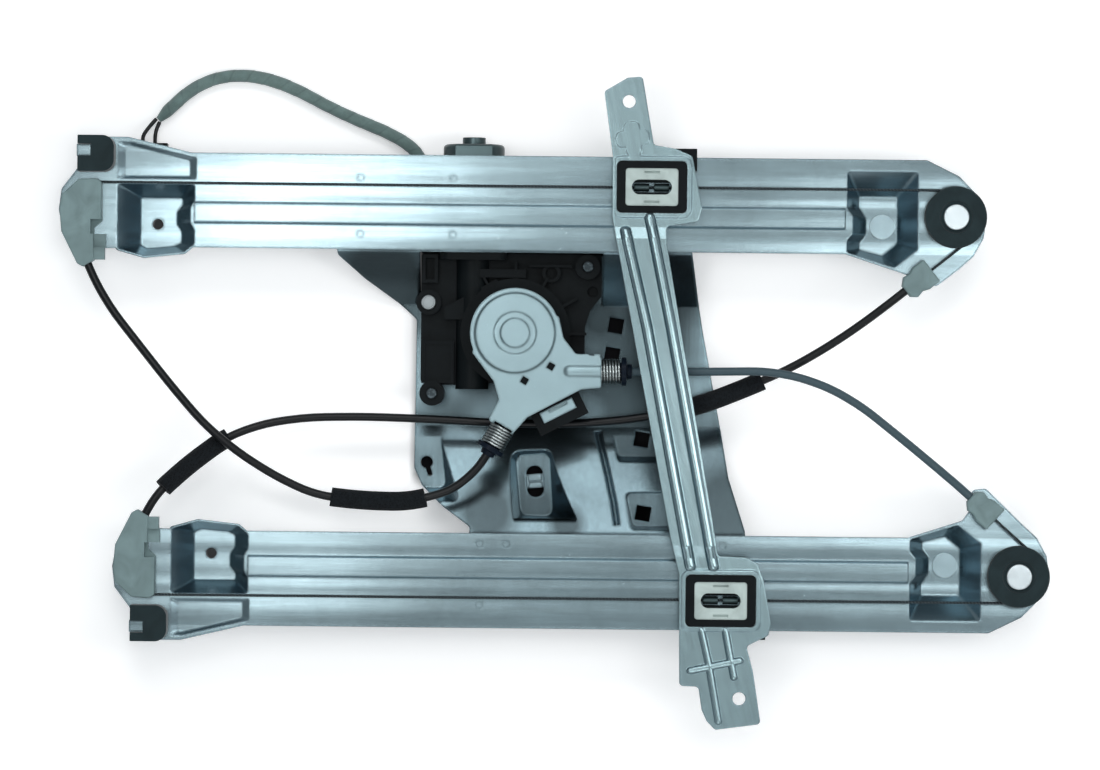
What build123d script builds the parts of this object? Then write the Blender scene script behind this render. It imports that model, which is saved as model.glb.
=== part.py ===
from build123d import *
import math
import os

# Vehicle window regulator: front door, two rails, cable driven by a motor and drum.
# All sizes are in millimetres. The origin is on the drum axis at the back of the
# motor plate, +X runs along the rails, +Z points to the side that carries the glass.

# Sheet thicknesses
PLATE_T = 1.5
RAIL_T = 1.2
BAR_T = 1.5

# Heights above the back of the motor plate
RAIL_FACE_Z = 38.0
RAIL_LIP = 5.0
CABLE_Z = 43.0
BAR_FACE_Z = 51.0
BAR_LIP = 3.0

# Rails: v is measured from each rail's inner edge, the one that faces the motor plate
RAIL_WIDTH = 57.0
CABLE_V = 38.6
RIB_V0 = 14.0
RIB_V1 = 28.0
RIB_RISE = 3.0
RIB_FLANK = 1.6
RIB_START_DX = 23.0
RIB_END_DX = -66.0
UPPER_INNER_Y = 49.4
LOWER_INNER_Y = -120.4
UPPER_HOLE_X = -216.2
LOWER_HOLE_X = -182.0
UPPER_PULLEY_X = 263.5
LOWER_PULLEY_X = 303.3
PAD_HOLE_V = 14.1
PAD_HOLE_R = 3.2
PAD_DEPTH = 15.0
STUD_DX = -43.0
STUD_V = 17.0
STUD_R = 3.0
STUD_NECK_R = 3.8
STUD_LENGTH = 15.0
STUD_HEAD_R = 7.3
STUD_HEAD_T = 2.2
TRAY_DEPTH = 2.4
DIMPLE_R = 2.2
DIMPLE_DEPTH = 0.4

# Cable and pulleys
CABLE_R = 0.75
CABLE_GAP = 0.35
PULLEY_PITCH_R = 16.0
PULLEY_R = 18.5
PULLEY_T = 8.0
PULLEY_LIFT = 1.0
PULLEY_RIM = 1.4
GROOVE_HALF = 0.8
HUB_R = 10.0
HUB_STEP = 0.7
PIN_R = 5.0
PIN_HEAD_R = 7.7
PIN_HEAD_T = 2.0
PIN_FOOT_T = 2.0
PIN_FOOT_R = 7.0
PIN_COLLAR_R = 7.5
FIT = 0.05
SEAT_GAP = 0.3
OVER = 1.0
ROOM = 80.0

# Left cable guides
TURN_R = 17.0
TURN_START_DX = -35.8
GUIDE_T = 10.5
UPPER_EXIT = 293.6
LOWER_EXIT = 298.0
EXIT_RUN = 28.0
NOTCH_SILL = 2.5
GUIDE_TAB_T = 5.0
GUIDE_FOOT_T = 8.0

# Bowden cable covers and the parts at their ends
CONDUIT_R = 2.5
SLEEVE_R = 5.75
SEAT_LENGTH = 20.0
SEAT_BORE_DEPTH = 11.0
STRAIGHT_RUN = 12.0
UPPER_SEAT_RUN = 51.0
LOWER_SEAT_RUN = 53.3
UPPER_SEAT_ANGLE = 218.7
LOWER_SEAT_ANGLE = 221.6

# Drum, drum housing and outlets
DRUM_PITCH_R = 22.5
DRUM_Z0 = 27.6
DRUM_T = 14.0
TURN_STEP = 1.7
DRUM_HOLE_RUN = 13.0
DRUM_HOLE_R = 3.6
DRUM_HOLES = 6
DRUM_RIM = 1.1
DRUM_RIM_T = 1.6
DRUM_FLANK_T = 2.4
SHAFT_R = 4.0
GEAR_TOP_Z = 26.0
HOUSING_R = 26.4
HOUSING_FLOOR = 1.2
CUP_R = 24.5
OUTLET_BORE_R = 1.95
HOUSING_TOP_Z = 43.0
COVER_R = 27.0
COVER_T = 1.2
COVER_RING_R = 24.0
OUTLET_BEAD_R = 4.9
OUTLET_BEAD_X = 33.0
OUTLET_BEAD_SINK = 3.2
OUTLET_1_Z = 34.0
OUTLET_2_Z = 38.0
OUTLET_END_1 = 52.0
OUTLET_END_2 = 53.5
OUTLET_2_ANGLE = 240.0
SPRING_R = 7.9
SPRING_WIRE_R = 0.6
SPRING_LENGTH = 14.0
SPRING_COILS = 7
FERRULE_HALF = 6.0
TAIL_START = 9.0

# Motor and gear housing
MOTOR_X = -26.0
MOTOR_Z = 16.0
MOTOR_WIDTH = 37.0
MOTOR_DEPTH = 29.6
MOTOR_Y0 = 52.0
MOTOR_Y1 = 113.8
MOTOR_BOSS_R = 7.0
MOTOR_BOSS_Y = 118.0
WORM_TUBE_R = 10.0
WHEEL_R = 33.0

# Motor plate
FLOOR_Z = PLATE_T
FLANGE_Z = RAIL_FACE_Z - RAIL_LIP
UPPER_RAMP_Y = 17.0
LOWER_RAMP_Y = -56.0
FLANGE_REACH = 52.0
SQUARE_HOLE = 8.8
SQUARE_TILT = -9.0
PLATE_X0 = -120.0
PLATE_RUN = 280.0
PAN_REACH = 24.0
LOBE_RIM = 1.0
PLATE_CREASE = [(50.5, -58.0), (56.5, -82.0), (60.5, -100.5), (62.5, -114.0)]
CREASE_R = 3.0
CREASE_DEPTH = 0.8

# Glass carrier
BAR_RISE = 3.0
RISE_TOP_Y = 64.0
RISE_FOOT_Y = -133.0
RISE_RUN = 7.0
BAR_REACH = 400.0
PAD_BEAD_R = 2.3
PAD_BEAD_SINK = 0.7
RIM_WIDTH = 3.2
RIM_RISE = 0.8
CROSS_RISE = 0.9
CROSS_LENGTH = 20.0
CROSS_WIDTH = 9.5
CROSS_CORNER = 3.5
CROSS_TILT = 6.6
WINDOW_LENGTH = 42.0
WINDOW_WIDTH = 31.0
WINDOW_CORNER = 3.0
WINDOW_GAP = 0.1
INSERT_LENGTH = 31.5
INSERT_WIDTH = 22.4
INSERT_CORNER = 1.9
NIPPLE_SLOT_LENGTH = 24.0
NIPPLE_SLOT_WIDTH = 9.0
UPPER_WINDOW_X = 81.0
LOWER_WINDOW_X = 124.7
GLASS_HOLE_R = 3.8
UPPER_GLASS_HOLE = (66.9, 139.0)
LOWER_GLASS_HOLE = (136.2, -217.4)
UPPER_CROSS = (69.2, 117.0)
BAR_BEADS = [[(65.5, 61.1), (66.4, RISE_TOP_Y - RISE_RUN), (79.0, 3.5),
              (103.8, RISE_FOOT_Y + RISE_RUN), (105.2, RISE_FOOT_Y), (106.3, -138.3)],
             [(79.9, 69.6), (81.0, RISE_TOP_Y), (82.5, RISE_TOP_Y - RISE_RUN), (93.5, 3.5),
              (117.7, RISE_FOOT_Y + RISE_RUN), (119.0, RISE_FOOT_Y), (120.1, -138.3)]]
PAD_BEADS = [[(113.3, -176.5), (118.2, -198.0), (124.0, -231.0)],
             [(127.6, -176.5), (131.2, -195.5), (133.0, -204.5)],
             [(106.9, -200.9), (118.2, -198.6), (131.2, -195.8), (136.5, -194.6)]]

# Small parts
SEAT_T = 10.0
BUMPER_TOP_Z = 52.0
BUMPER_DX0 = -46.4
BUMPER_DX1 = -24.6
BUMPER_V0 = 44.7
BUMPER_V1 = 66.3
TAB_TOP_Z = 46.0
TAB_DX0 = -47.4
TAB_DX1 = -38.5
TAB_V0 = 54.0
TAB_V1 = 61.0
SPRING_SINK = 2.0
OUTLET_RUN = 21.0
BEAD_R = 3.4
BEAD_SINK = 0.8
SLIDER_GAP = 0.5
JAW_GAP = 0.9
JAW_REACH = 4.0
JAW_HOOK = 3.4
JAW_ARM = 4.5
JAW_X0 = 18.5
JAW_X1 = 27.0
JAW_TOP_Z = 47.7
JAW_FOOT_Z = 31.3
FRAME_TOP_Z = 52.2
TRAY_Z = 45.6
INSERT_T = 5.8
INSERT_SLIT_V = 8.9
INSERT_SLIT_DEPTH = 1.5
BODY_DX0 = -20.5
BODY_DX1 = 21.0
BODY_DV0 = -15.0
BODY_DV1 = 14.5
NIPPLE_R = 2.3
NIPPLE_DX = 6.0
NIPPLE_LENGTH = 9.0
NIPPLE_ROOM_X = 11.5
NIPPLE_ROOM_V = 3.0
CABLE_ROOM_V = 1.6

# Gear housing details
WELL_X0 = -57.5
WELL_X1 = 52.5
BASE_TOP_Z = 18.0
LOBE_TOP_Z = 24.0
LOBE_R = 7.5
COLLAR_TOP_Z = 30.5
SCREW_R = 2.0
SCREW_HEAD_R = 3.3
SCREW_HEAD_T = 2.4
LOBE_PIN_R = 3.0
LOBE_PIN_HEAD_R = 4.5
SCREW_SOCKET_R = 1.8
HEAD_EDGE = 0.5
PANEL_TOP_Z = 22.5
WEDGE_TOP_Z = 24.5
PANEL_BOX = (-56.5, -37.0, -30.5, -5.0)
CORNER_BOX = (-56.5, -47.0, 30.0, 47.0)
BRIDGE_BOX = (-22.0, 6.0, 33.5, 38.5)
EDGE_RIB_BOX = (8.0, 34.0, 40.0, 41.6)
BOX_WALL = 2.0
PANEL_DEPTH = 1.2
RIB_RUN = 37.0
RIB_LENGTH = 12.0
RIB_T = 1.6
BOSS_SPOT = (21.5, 36.5)
BOSS_R = 5.6
RECESS_SPOT = (46.6, 25.5)
RECESS_R = 3.4
RECESS_DEPTH = 3.0
COLLAR_Y0 = 44.0
COLLAR_EDGE = 1.5
SHAFT_FOOT_Z = 12.0
CONNECTOR_X0 = -57.0
CONNECTOR_Y0 = 48.0
CONNECTOR_Y1 = 64.0
CONNECTOR_Z0 = 4.0
CONNECTOR_Z1 = 20.0
CONNECTOR_BORE = 6.0
HARNESS_X = -51.2
HARNESS_Z0 = 10.0
HARNESS_R = 3.6

# Places on the plate and cover
SLOT_CENTRE = (12.9, -89.5)
SLOT_LENGTH = 19.0
SLOT_WIDTH = 10.0
KEYHOLE = (-53.0, -78.5)
KEYHOLE_R = 3.6
KEY_SLIT = (-51.8, -83.0)
KEY_SLIT_TILT = -72.0
KEY_SLIT_LENGTH = 8.0
KEY_SLIT_WIDTH = 2.8
SLOT_PAD_Z = 5.0
CLIP_T = 1.2
CLIP_BRIDGE = (-7.5, 7.5, -4.0, 4.5)
CLIP_TONGUE = (-3.8, 3.8, -4.0, 4.5)
CLIP_SLIT = (-3.9, 3.9, -0.7, 0.3)
CLIP_CENTRE = (26.2, -46.2)
CLIP_ANGLE = 27.0
CLIP_SINK = 3.0
CLIP_RISE = 0.8
CLIP_BAR = (-11.0, 11.0, -3.6, 3.6)
CLIP_BAR_SLIT = (-5.0, 7.0, 1.2, 2.4)
CLIP_GAP = 0.2
CLIP_SEAT = (-16.0, 16.0, -9.5, 7.0)
SEAT_FOOT_Z = 27.0
SEAT_TOP_Z = 36.0
GEAR_SCREWS = [(-52.4, 18.2), (-50.0, -36.7), (43.4, 40.4)]
SQUARE_HOLES = [(61.0, 5.5), (58.8, -12.3), (77.3, -63.5), (78.4, -108.0)]
COVER_TABS = (42.5, 49.5)
COVER_TAB_HALF = 1.8
COVER_TAB_Y0 = -15.0
COVER_TAB_Y1 = -12.2
COVER_HOLE = 4.0
COVER_HOLE_TILT = -30.0
COVER_HOLES = [(21.7, -19.8), (6.0, -28.5)]
UPPER_CLINCHES = [(-93.6, 9.2), (-93.6, 43.0), (-38.0, 9.2), (-38.0, 43.0)]
LOWER_CLINCHES = [(-20.0, 6.2), (-20.0, 43.0), (-4.0, 6.2), (126.0, 6.2)]
CLINCH_R = 3.4

# Cord routes: points chosen along the photographed line, heights under the moving bar
CONDUIT_1_ROUTE = [(118.0, -22.0, 37.0), (150.0, -21.4, 41.0), (170.0, -24.5, 41.6),
                   (190.0, -31.5, 42.0), (209.0, -42.5, 42.4), (236.0, -63.8, 42.8)]
CONDUIT_2_ROUTE = [(-37.0, -95.0, 37.0), (-62.0, -102.0, 36.0), (-90.5, -101.6, 36.0),
                   (-119.0, -98.5, 36.6), (-143.0, -87.5, 38.0), (-166.0, -73.0, 40.5),
                   (-186.0, -56.5, 42.0), (-206.0, -33.5, 42.8), (-226.0, -8.5, 43.0),
                   (-241.5, 11.0, 43.0)]
CONDUIT_3_ROUTE = [(-194.5, -80.5, 36.0), (-172.5, -64.0, 31.0), (-150.0, -55.8, 28.0),
                   (-125.0, -52.0, 25.0), (-92.0, -51.2, 22.0), (-50.0, -52.3, 20.0),
                   (-8.0, -54.5, 19.0), (34.0, -54.6, 20.0), (76.0, -50.6, 23.0),
                   (113.0, -42.0, 26.0), (140.0, -31.2, 27.0), (165.0, -20.0, 28.5),
                   (187.0, -7.0, 33.5), (206.0, 6.0, 39.5)]
SLEEVES = [("foam_sleeve_left", 3, 28.0, 78.0), ("foam_sleeve_lower", 2, 58.0, 115.0),
           ("foam_sleeve_right", 3, 353.0, 406.0)]
HARNESS_ROUTE = [(-51.2, 58.4, 10.0), (-51.2, 72.0, 10.0), (-52.6, 91.0, 6.4), (-60.5, 110.5, 4.2),
                 (-77.0, 120.6, 4.0), (-97.0, 128.4, 4.0), (-115.0, 136.5, 4.0), (-132.0, 145.6, 4.0),
                 (-149.0, 152.6, 4.0), (-166.0, 155.6, 4.0), (-183.0, 153.8, 4.0),
                 (-198.0, 146.4, 4.0), (-209.0, 136.6, 4.0), (-218.0, 127.5, 4.0)]
WIRE_R = 1.2
WIRE_ROUTES = [[(-219.4, 128.1, 4.0), (-224.0, 122.6, 5.4), (-227.2, 117.6, 7.0), (-227.2, 113.0, 7.0)],
               [(-217.4, 126.1, 4.0), (-219.2, 121.6, 5.4), (-219.8, 117.4, 7.0), (-219.8, 113.0, 7.0)]]
PLUG_BOX = (-235.0, -212.0, 95.0, 113.0, 0.5, 14.0)
PLUG_WALL = 2.2
PLUG_BACK = 5.0
PLUG_LATCH = (-228.0, -219.0, 97.0, 109.0)
PLUG_LATCH_RISE = 1.6

UPPER_CABLE_Y = UPPER_INNER_Y + CABLE_V
LOWER_CABLE_Y = LOWER_INNER_Y - CABLE_V
UPPER_PULLEY_Y = UPPER_CABLE_Y - PULLEY_PITCH_R
LOWER_PULLEY_Y = LOWER_CABLE_Y + PULLEY_PITCH_R
RAIL_BACK_Z = RAIL_FACE_Z - RAIL_T
PULLEY_Z = RAIL_FACE_Z + PULLEY_LIFT
BAR_BACK_Z = BAR_FACE_Z - BAR_T
LOW = (Align.CENTER, Align.CENTER, Align.MIN)


def block(x0, x1, y0, y1, z0, z1):
    return Pos((x0 + x1) / 2, (y0 + y1) / 2, (z0 + z1) / 2) * Box(x1 - x0, y1 - y0, z1 - z0)


def post(x, y, radius, z0, z1):
    return Pos(x, y, z0) * Cylinder(radius, z1 - z0, align=LOW)


def outline(points, radius=0.0):
    """A flat shape from its corners, taken anticlockwise so that its face looks up."""
    turns = zip(points, points[1:] + points[:1])
    area = sum(x0 * y1 - x1 * y0 for (x0, y0), (x1, y1) in turns)
    shape = Polygon(*(points if area > 0 else points[::-1]), align=None)
    if radius:
        shape = fillet(shape.vertices(), radius)
    return shape


def prism(shape, z0, z1):
    return Pos(0, 0, z0) * extrude(shape, z1 - z0)


def heading(degrees):
    return Vector(math.cos(math.radians(degrees)), math.sin(math.radians(degrees)), 0)


def rod(start, end, radius):
    """A round bar between two points."""
    run = Vector(*end) - Vector(*start)
    return Plane(origin=start, z_dir=run) * Cylinder(radius, run.length, align=LOW)


def pocket(top, floor, z0, z1, grow=0.0):
    """A pan with sloped walls, from its floor outline at z0 to its mouth outline at z1."""
    low = offset(floor, grow) if grow else floor
    high = offset(top, grow) if grow else top
    return loft([Pos(0, 0, z0) * low, Pos(0, 0, z1) * high], ruled=True)


def route_path(points):
    """A cord's line: straight runs joined by tangent arcs as large as the runs allow."""
    spots = [Vector(*point) for point in points]
    runs = [(b - a).length for a, b in zip(spots, spots[1:])]
    radii = []
    for i in range(1, len(spots) - 1):
        turn = (spots[i] - spots[i - 1]).get_angle(spots[i + 1] - spots[i])
        shorter = min(runs[i - 1], runs[i])
        radii.append(0.45 * shorter / math.tan(math.radians(turn / 2)))
    print("radii", [round(r) for r in radii])
    return FilletPolyline(*spots, radius=radii)


def tube(path, radius, name):
    """A round tube along a line, with its length and a test of its volume printed."""
    start = Plane(origin=path @ 0, z_dir=path % 0)
    body = sweep(start * Circle(radius), path=path)
    share = body.volume / (math.pi * radius ** 2 * path.length)
    print(name, "length", round(path.length, 1), "volume share", round(share, 4))
    return body


# Rails

LEFT_END = [(20.9, RAIL_WIDTH), (-17.0, 66.0), (-47.5, 66.0), (-47.3, 47.3), (-57.0, 34.5),
            (-58.5, 22.0), (-56.0, 8.0), (-47.0, -1.0), (-30.0, -1.0)]
RIGHT_END = [(-33.5, -10.5), (RIB_END_DX, 0.0)]
RIGHT_NOSE = [(2.9, -8.3), (11.3, -0.7), (17.2, 10.1), (19.0, 22.6), (13.8, 35.7),
              (2.2, 47.5), (-17.2, RAIL_WIDTH)]
UPPER_TIP = [(-22.0, -14.5), (-11.0, -19.0)]
LOWER_TIP = [(-29.0, -17.0), (-28.0, -29.0), (-19.6, -30.0)]


def rail_web(hole_x, pulley_x, tip):
    """Folded strip: flat web with a lip all round, and a raised rib along it."""
    left = [(hole_x + dx, v) for dx, v in LEFT_END]
    right = [(pulley_x + dx, v) for dx, v in RIGHT_END[::-1] + tip + RIGHT_NOSE]
    edge = outline(left + [(hole_x + 20.0, 0.0)] + right, 3.0)
    lip_z = RAIL_FACE_Z - RAIL_LIP
    web = prism(edge, lip_z, RAIL_FACE_Z)
    web -= prism(offset(edge, -RAIL_T), lip_z - OVER, RAIL_BACK_Z)
    start = hole_x + RIB_START_DX
    length = pulley_x + RIB_END_DX - start
    top = RAIL_FACE_Z + RIB_RISE
    rib = [(RIB_V0, RAIL_BACK_Z), (RIB_V0 + RIB_FLANK, top), (RIB_V1 - RIB_FLANK, top),
           (RIB_V1, RAIL_BACK_Z)]
    hollow = [(RIB_V0 + RAIL_T, RAIL_BACK_Z - 1), (RIB_V0 + RIB_FLANK + RAIL_T, top - RAIL_T),
              (RIB_V1 - RIB_FLANK - RAIL_T, top - RAIL_T), (RIB_V1 - RAIL_T, RAIL_BACK_Z - 1)]
    web += extrude(Plane.YZ.offset(start) * outline(rib), length)
    web -= extrude(Plane.YZ.offset(start + RAIL_T) * outline(hollow), length - 2 * RAIL_T)
    return web


def left_pan(hole_x):
    """Mouth and floor of the pan round the mounting hole."""
    mouth = outline([(hole_x - 23.5, -1.0), (hole_x - 7.0, -5.6), (hole_x + 17.0, -3.0),
                     (hole_x + 23.0, 2.0), (hole_x + 23.0, 10.5), (hole_x + 20.5, 15.0),
                     (hole_x + 20.5, 24.0), (hole_x + 23.0, 28.0), (hole_x + 23.0, 38.0),
                     (hole_x - 23.5, 38.0)], 2.0)
    floor = outline([(hole_x - 10.0, 1.5), (hole_x - 6.0, -0.5), (hole_x + 10.0, 1.0),
                     (hole_x + 14.5, 3.0), (hole_x + 14.5, 10.0), (hole_x + 11.5, 14.5),
                     (hole_x + 11.5, 21.5), (hole_x + 15.0, 26.0), (hole_x + 15.0, 30.0),
                     (hole_x - 10.0, 30.0)], 1.2)
    return mouth, floor


def left_tray(hole_x):
    """Mouth and floor of the shallow tray between the pan and the rail's wide corner."""
    mouth = outline([(hole_x - 23.5, 40.5), (hole_x + 24.0, 40.5), (hole_x + 24.0, 54.2),
                     (hole_x + 20.0, 54.8), (hole_x - 16.5, 63.4), (hole_x - 23.5, 63.4)], 1.5)
    floor = outline([(hole_x - 19.0, 43.0), (hole_x + 20.0, 43.0), (hole_x + 20.0, 52.0),
                     (hole_x + 18.5, 52.6), (hole_x - 15.5, 60.8), (hole_x - 19.0, 60.8)], 1.0)
    return mouth, floor


def right_pan(pulley_x):
    """Mouth and floor of the pan that carries the mounting stud."""
    mouth = outline([(pulley_x - 65.0, 1.0), (pulley_x - 36.0, -8.0), (pulley_x - 22.0, 3.0),
                     (pulley_x - 22.0, 50.0), (pulley_x - 65.0, 50.0), (pulley_x - 65.0, 27.5),
                     (pulley_x - 61.5, 23.5), (pulley_x - 61.5, 12.0), (pulley_x - 65.0, 8.0)], 2.0)
    floor = outline([(pulley_x - 56.5, 3.0), (pulley_x - 43.0, -0.5), (pulley_x - 34.0, 7.0),
                     (pulley_x - 34.0, 35.0), (pulley_x - 57.0, 35.0), (pulley_x - 57.0, 28.5),
                     (pulley_x - 52.5, 21.5), (pulley_x - 52.5, 12.5), (pulley_x - 56.5, 7.5)], 1.2)
    return mouth, floor


def rail(hole_x, pulley_x, tip, clinches):
    """One rail in its own frame, v along Y. The upper rail is as made, the lower mirrored."""
    body = rail_web(hole_x, pulley_x, tip)
    floor_z = RAIL_FACE_Z - PAD_DEPTH
    tray_z = RAIL_FACE_Z - TRAY_DEPTH
    hollows = [(*left_pan(hole_x), floor_z), (*right_pan(pulley_x), floor_z),
               (*left_tray(hole_x), tray_z)]
    for mouth, floor, z in hollows:
        body += pocket(mouth, floor, z - RAIL_T, RAIL_FACE_Z, RAIL_T)
    for mouth, floor, z in hollows:
        body -= pocket(mouth, floor, z, RAIL_FACE_Z + 0.01)
    for x, v in clinches:
        body -= post(x, v, DIMPLE_R, RAIL_FACE_Z - DIMPLE_DEPTH, RAIL_FACE_Z + OVER)
    under_z = floor_z - RAIL_T - OVER
    body -= post(hole_x, PAD_HOLE_V, PAD_HOLE_R, under_z, floor_z + OVER)
    body -= post(pulley_x + STUD_DX, STUD_V, STUD_NECK_R + FIT, under_z, floor_z + OVER)
    pulley_v = CABLE_V - PULLEY_PITCH_R
    body -= post(pulley_x, pulley_v, PIN_R + FIT, RAIL_BACK_Z - OVER, RAIL_FACE_Z + OVER)
    return body


def upper(shape):
    """Places a shape made in the rail frame on the upper rail."""
    return Pos(0, UPPER_INNER_Y, 0) * shape


def lower(shape):
    """Places a shape made in the rail frame on the lower rail, mirrored."""
    return Pos(0, LOWER_INNER_Y, 0) * mirror(shape, about=Plane.XZ)


def stud(pulley_x):
    """Mounting stud: round head in the pan, neck through the sheet, shank pointing back."""
    floor_z = RAIL_FACE_Z - PAD_DEPTH
    sheet_z = floor_z - RAIL_T
    x = pulley_x + STUD_DX
    shank = post(x, STUD_V, STUD_R, sheet_z - STUD_LENGTH, sheet_z)
    neck = post(x, STUD_V, STUD_NECK_R, sheet_z, floor_z)
    return shank + neck + post(x, STUD_V, STUD_HEAD_R, floor_z, floor_z + STUD_HEAD_T)


def pulley():
    """Grooved wheel on its own axis, its lower face at z = 0."""
    groove = PULLEY_PITCH_R - CABLE_R - CABLE_GAP
    middle = PULLEY_T / 2
    bore = PIN_R + FIT
    hub_z = PULLEY_T - HUB_STEP
    section = [(bore, 0.0), (PULLEY_R, 0.0), (PULLEY_R, PULLEY_RIM), (groove, middle - GROOVE_HALF),
               (groove, middle + GROOVE_HALF), (PULLEY_R, PULLEY_T - PULLEY_RIM),
               (PULLEY_R, PULLEY_T - 0.5), (PULLEY_R - 0.5, PULLEY_T), (HUB_R, PULLEY_T),
               (HUB_R - 0.6, hub_z), (bore, hub_z)]
    return revolve(Plane.XZ * outline(section), Axis.Z)


def pulley_pin():
    """Rivet that the pulley turns on: shank through the web, wide bright head on top."""
    top = PULLEY_LIFT + PULLEY_T + FIT
    foot_z = -RAIL_T - PIN_FOOT_T
    collar = post(0, 0, PIN_COLLAR_R, 0, PULLEY_LIFT - FIT)
    shank = post(0, 0, PIN_R, foot_z, top)
    foot = post(0, 0, PIN_FOOT_R, foot_z, -RAIL_T)
    head = post(0, 0, PIN_HEAD_R, top, top + PIN_HEAD_T)
    head = fillet(head.edges().group_by(Axis.Z)[-1], 0.8)
    return collar + shank + foot + head


# Left cable guides

def turn_path(hole_x, exit_degrees, start_x):
    """Cable line in the rail frame: along the rail, round the guide, out towards the cover."""
    centre = (hole_x + TURN_START_DX, CABLE_V - TURN_R)
    arc = CenterArc(centre, TURN_R, 90, exit_degrees - 180)
    out = Vector(*(arc @ 1)) + heading(exit_degrees) * EXIT_RUN
    return Line((start_x, CABLE_V), arc @ 0) + arc + Line(arc @ 1, out), out


def cable_guide(hole_x, exit_degrees):
    """Moulded guide that turns the cable from the rail into its cover, in the rail frame."""
    x = hole_x
    path, out = turn_path(hole_x, exit_degrees, hole_x)
    shape = outline([(x - 35.6, 40.6), (x - 32.4, 38.6), (x - 32.2, 15.2), (x - 37.0, 11.4),
                     (x - 36.4, -8.5), (x - 43.2, -12.4), (x - 46.4, -10.5), (x - 56.0, 8.6),
                     (x - 57.2, 22.0), (x - 55.8, 31.0), (x - 46.0, 40.0)], 1.2)
    z0 = RAIL_FACE_Z
    body = prism(shape, z0, z0 + GUIDE_T)
    body = fillet(body.edges().group_by(Axis.Z)[-1], 1.0)
    body -= block(x - 38.6, x - 30.0, 7.3, 16.1, z0 + NOTCH_SILL, z0 + GUIDE_T + OVER)
    body += block(x - 40.0, x - 29.9, -0.8, 7.3, z0, z0 + GUIDE_TAB_T)
    body += block(x - 40.0, x - 30.3, -8.0, -0.8, z0, z0 + GUIDE_FOOT_T)
    start = Plane(origin=path @ 0, z_dir=path % 0)
    channel = sweep(start * Circle(CABLE_R + CABLE_GAP), path=path)
    body -= Pos(0, 0, CABLE_Z) * channel
    back = out - heading(exit_degrees) * SEAT_BORE_DEPTH
    body -= rod((back.X, back.Y, CABLE_Z), (out.X, out.Y, CABLE_Z), CONDUIT_R + FIT)
    return body


# Parts on the rails

def bumper(hole_x):
    """Rubber end stop for the carrier, slotted for the rail's tab, in the rail frame."""
    x0 = hole_x + BUMPER_DX0
    x1 = hole_x + BUMPER_DX1
    pad = block(x0, x1, BUMPER_V0, BUMPER_V1, RAIL_FACE_Z, BUMPER_TOP_Z)
    pad = fillet(pad.edges().filter_by(Axis.Z).group_by(Axis.X)[-1], 7.0)
    return pad - block(x0 - OVER, hole_x + TAB_DX1 + FIT, TAB_V0 - FIT, TAB_V1 + FIT,
                       RAIL_FACE_Z - OVER, BUMPER_TOP_Z + OVER)


def rail_tab(hole_x):
    """Tab folded up from the rail that holds the rubber stop."""
    x0 = hole_x + TAB_DX0
    stem = block(x0, x0 + RAIL_T, TAB_V0, TAB_V1, RAIL_BACK_Z, TAB_TOP_Z)
    hook = block(x0, hole_x + TAB_DX1, TAB_V0, TAB_V1, TAB_TOP_Z - RAIL_T, TAB_TOP_Z)
    return stem + hook


def conduit_seat(pulley_x, degrees, run):
    """Moulded seat for the end of a cable cover, in the rail frame, v along Y."""
    along = heading(degrees)
    side = heading(degrees - 90)
    tangent = Vector(pulley_x, CABLE_V - PULLEY_PITCH_R, 0) + side * -PULLEY_PITCH_R
    mouth = tangent + along * run
    middle = mouth - along * (SEAT_LENGTH / 2)
    spot = Plane(origin=(middle.X, middle.Y, RAIL_FACE_Z), x_dir=along, z_dir=(0, 0, 1))
    shape = outline([(-SEAT_LENGTH / 2, -8.2), (-2.0, -8.2), (2.0, -6.6), (6.0, -7.2),
                     (SEAT_LENGTH / 2, -3.4), (SEAT_LENGTH / 2, 4.6), (6.5, 7.6), (2.0, 6.6),
                     (-2.0, 8.2), (-SEAT_LENGTH / 2, 8.2)], 0.8)
    body = spot * extrude(shape, SEAT_T)
    body = fillet(body.edges().group_by(Axis.Z)[-1], 1.5)
    inner = mouth - along * SEAT_BORE_DEPTH
    far = mouth - along * (SEAT_LENGTH + 1)
    body -= rod((inner.X, inner.Y, CABLE_Z), (mouth.X + along.X, mouth.Y + along.Y, CABLE_Z),
                CONDUIT_R + FIT)
    body -= rod((far.X, far.Y, CABLE_Z), (mouth.X, mouth.Y, CABLE_Z), CABLE_R + CABLE_GAP)
    return body


def rail_cable(hole_x, pulley_x, exit_degrees, seat_degrees, run):
    """Inner cable from the seat, round the pulley, along the rail and round the guide."""
    centre = (pulley_x, CABLE_V - PULLEY_PITCH_R)
    along = heading(seat_degrees)
    tangent = Vector(*centre) + heading(seat_degrees + 90) * PULLEY_PITCH_R
    begin = tangent + along * (run - SEAT_BORE_DEPTH + SEAT_GAP)
    first = seat_degrees + 90 - 360
    wrap = CenterArc(centre, PULLEY_PITCH_R, first, 90 - first)
    turn = (hole_x + TURN_START_DX, CABLE_V - TURN_R)
    bend = CenterArc(turn, TURN_R, 90, exit_degrees - 180)
    leave = bend @ 1 + heading(exit_degrees) * (EXIT_RUN - SEAT_BORE_DEPTH - SEAT_GAP)
    path = Line(begin, wrap @ 0) + wrap + Line(wrap @ 1, bend @ 0) + bend + Line(bend @ 1, leave)
    start = Plane(origin=path @ 0, z_dir=path % 0)
    return Pos(0, 0, CABLE_Z) * sweep(start * Circle(CABLE_R), path=path)


# Motor plate

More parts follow.
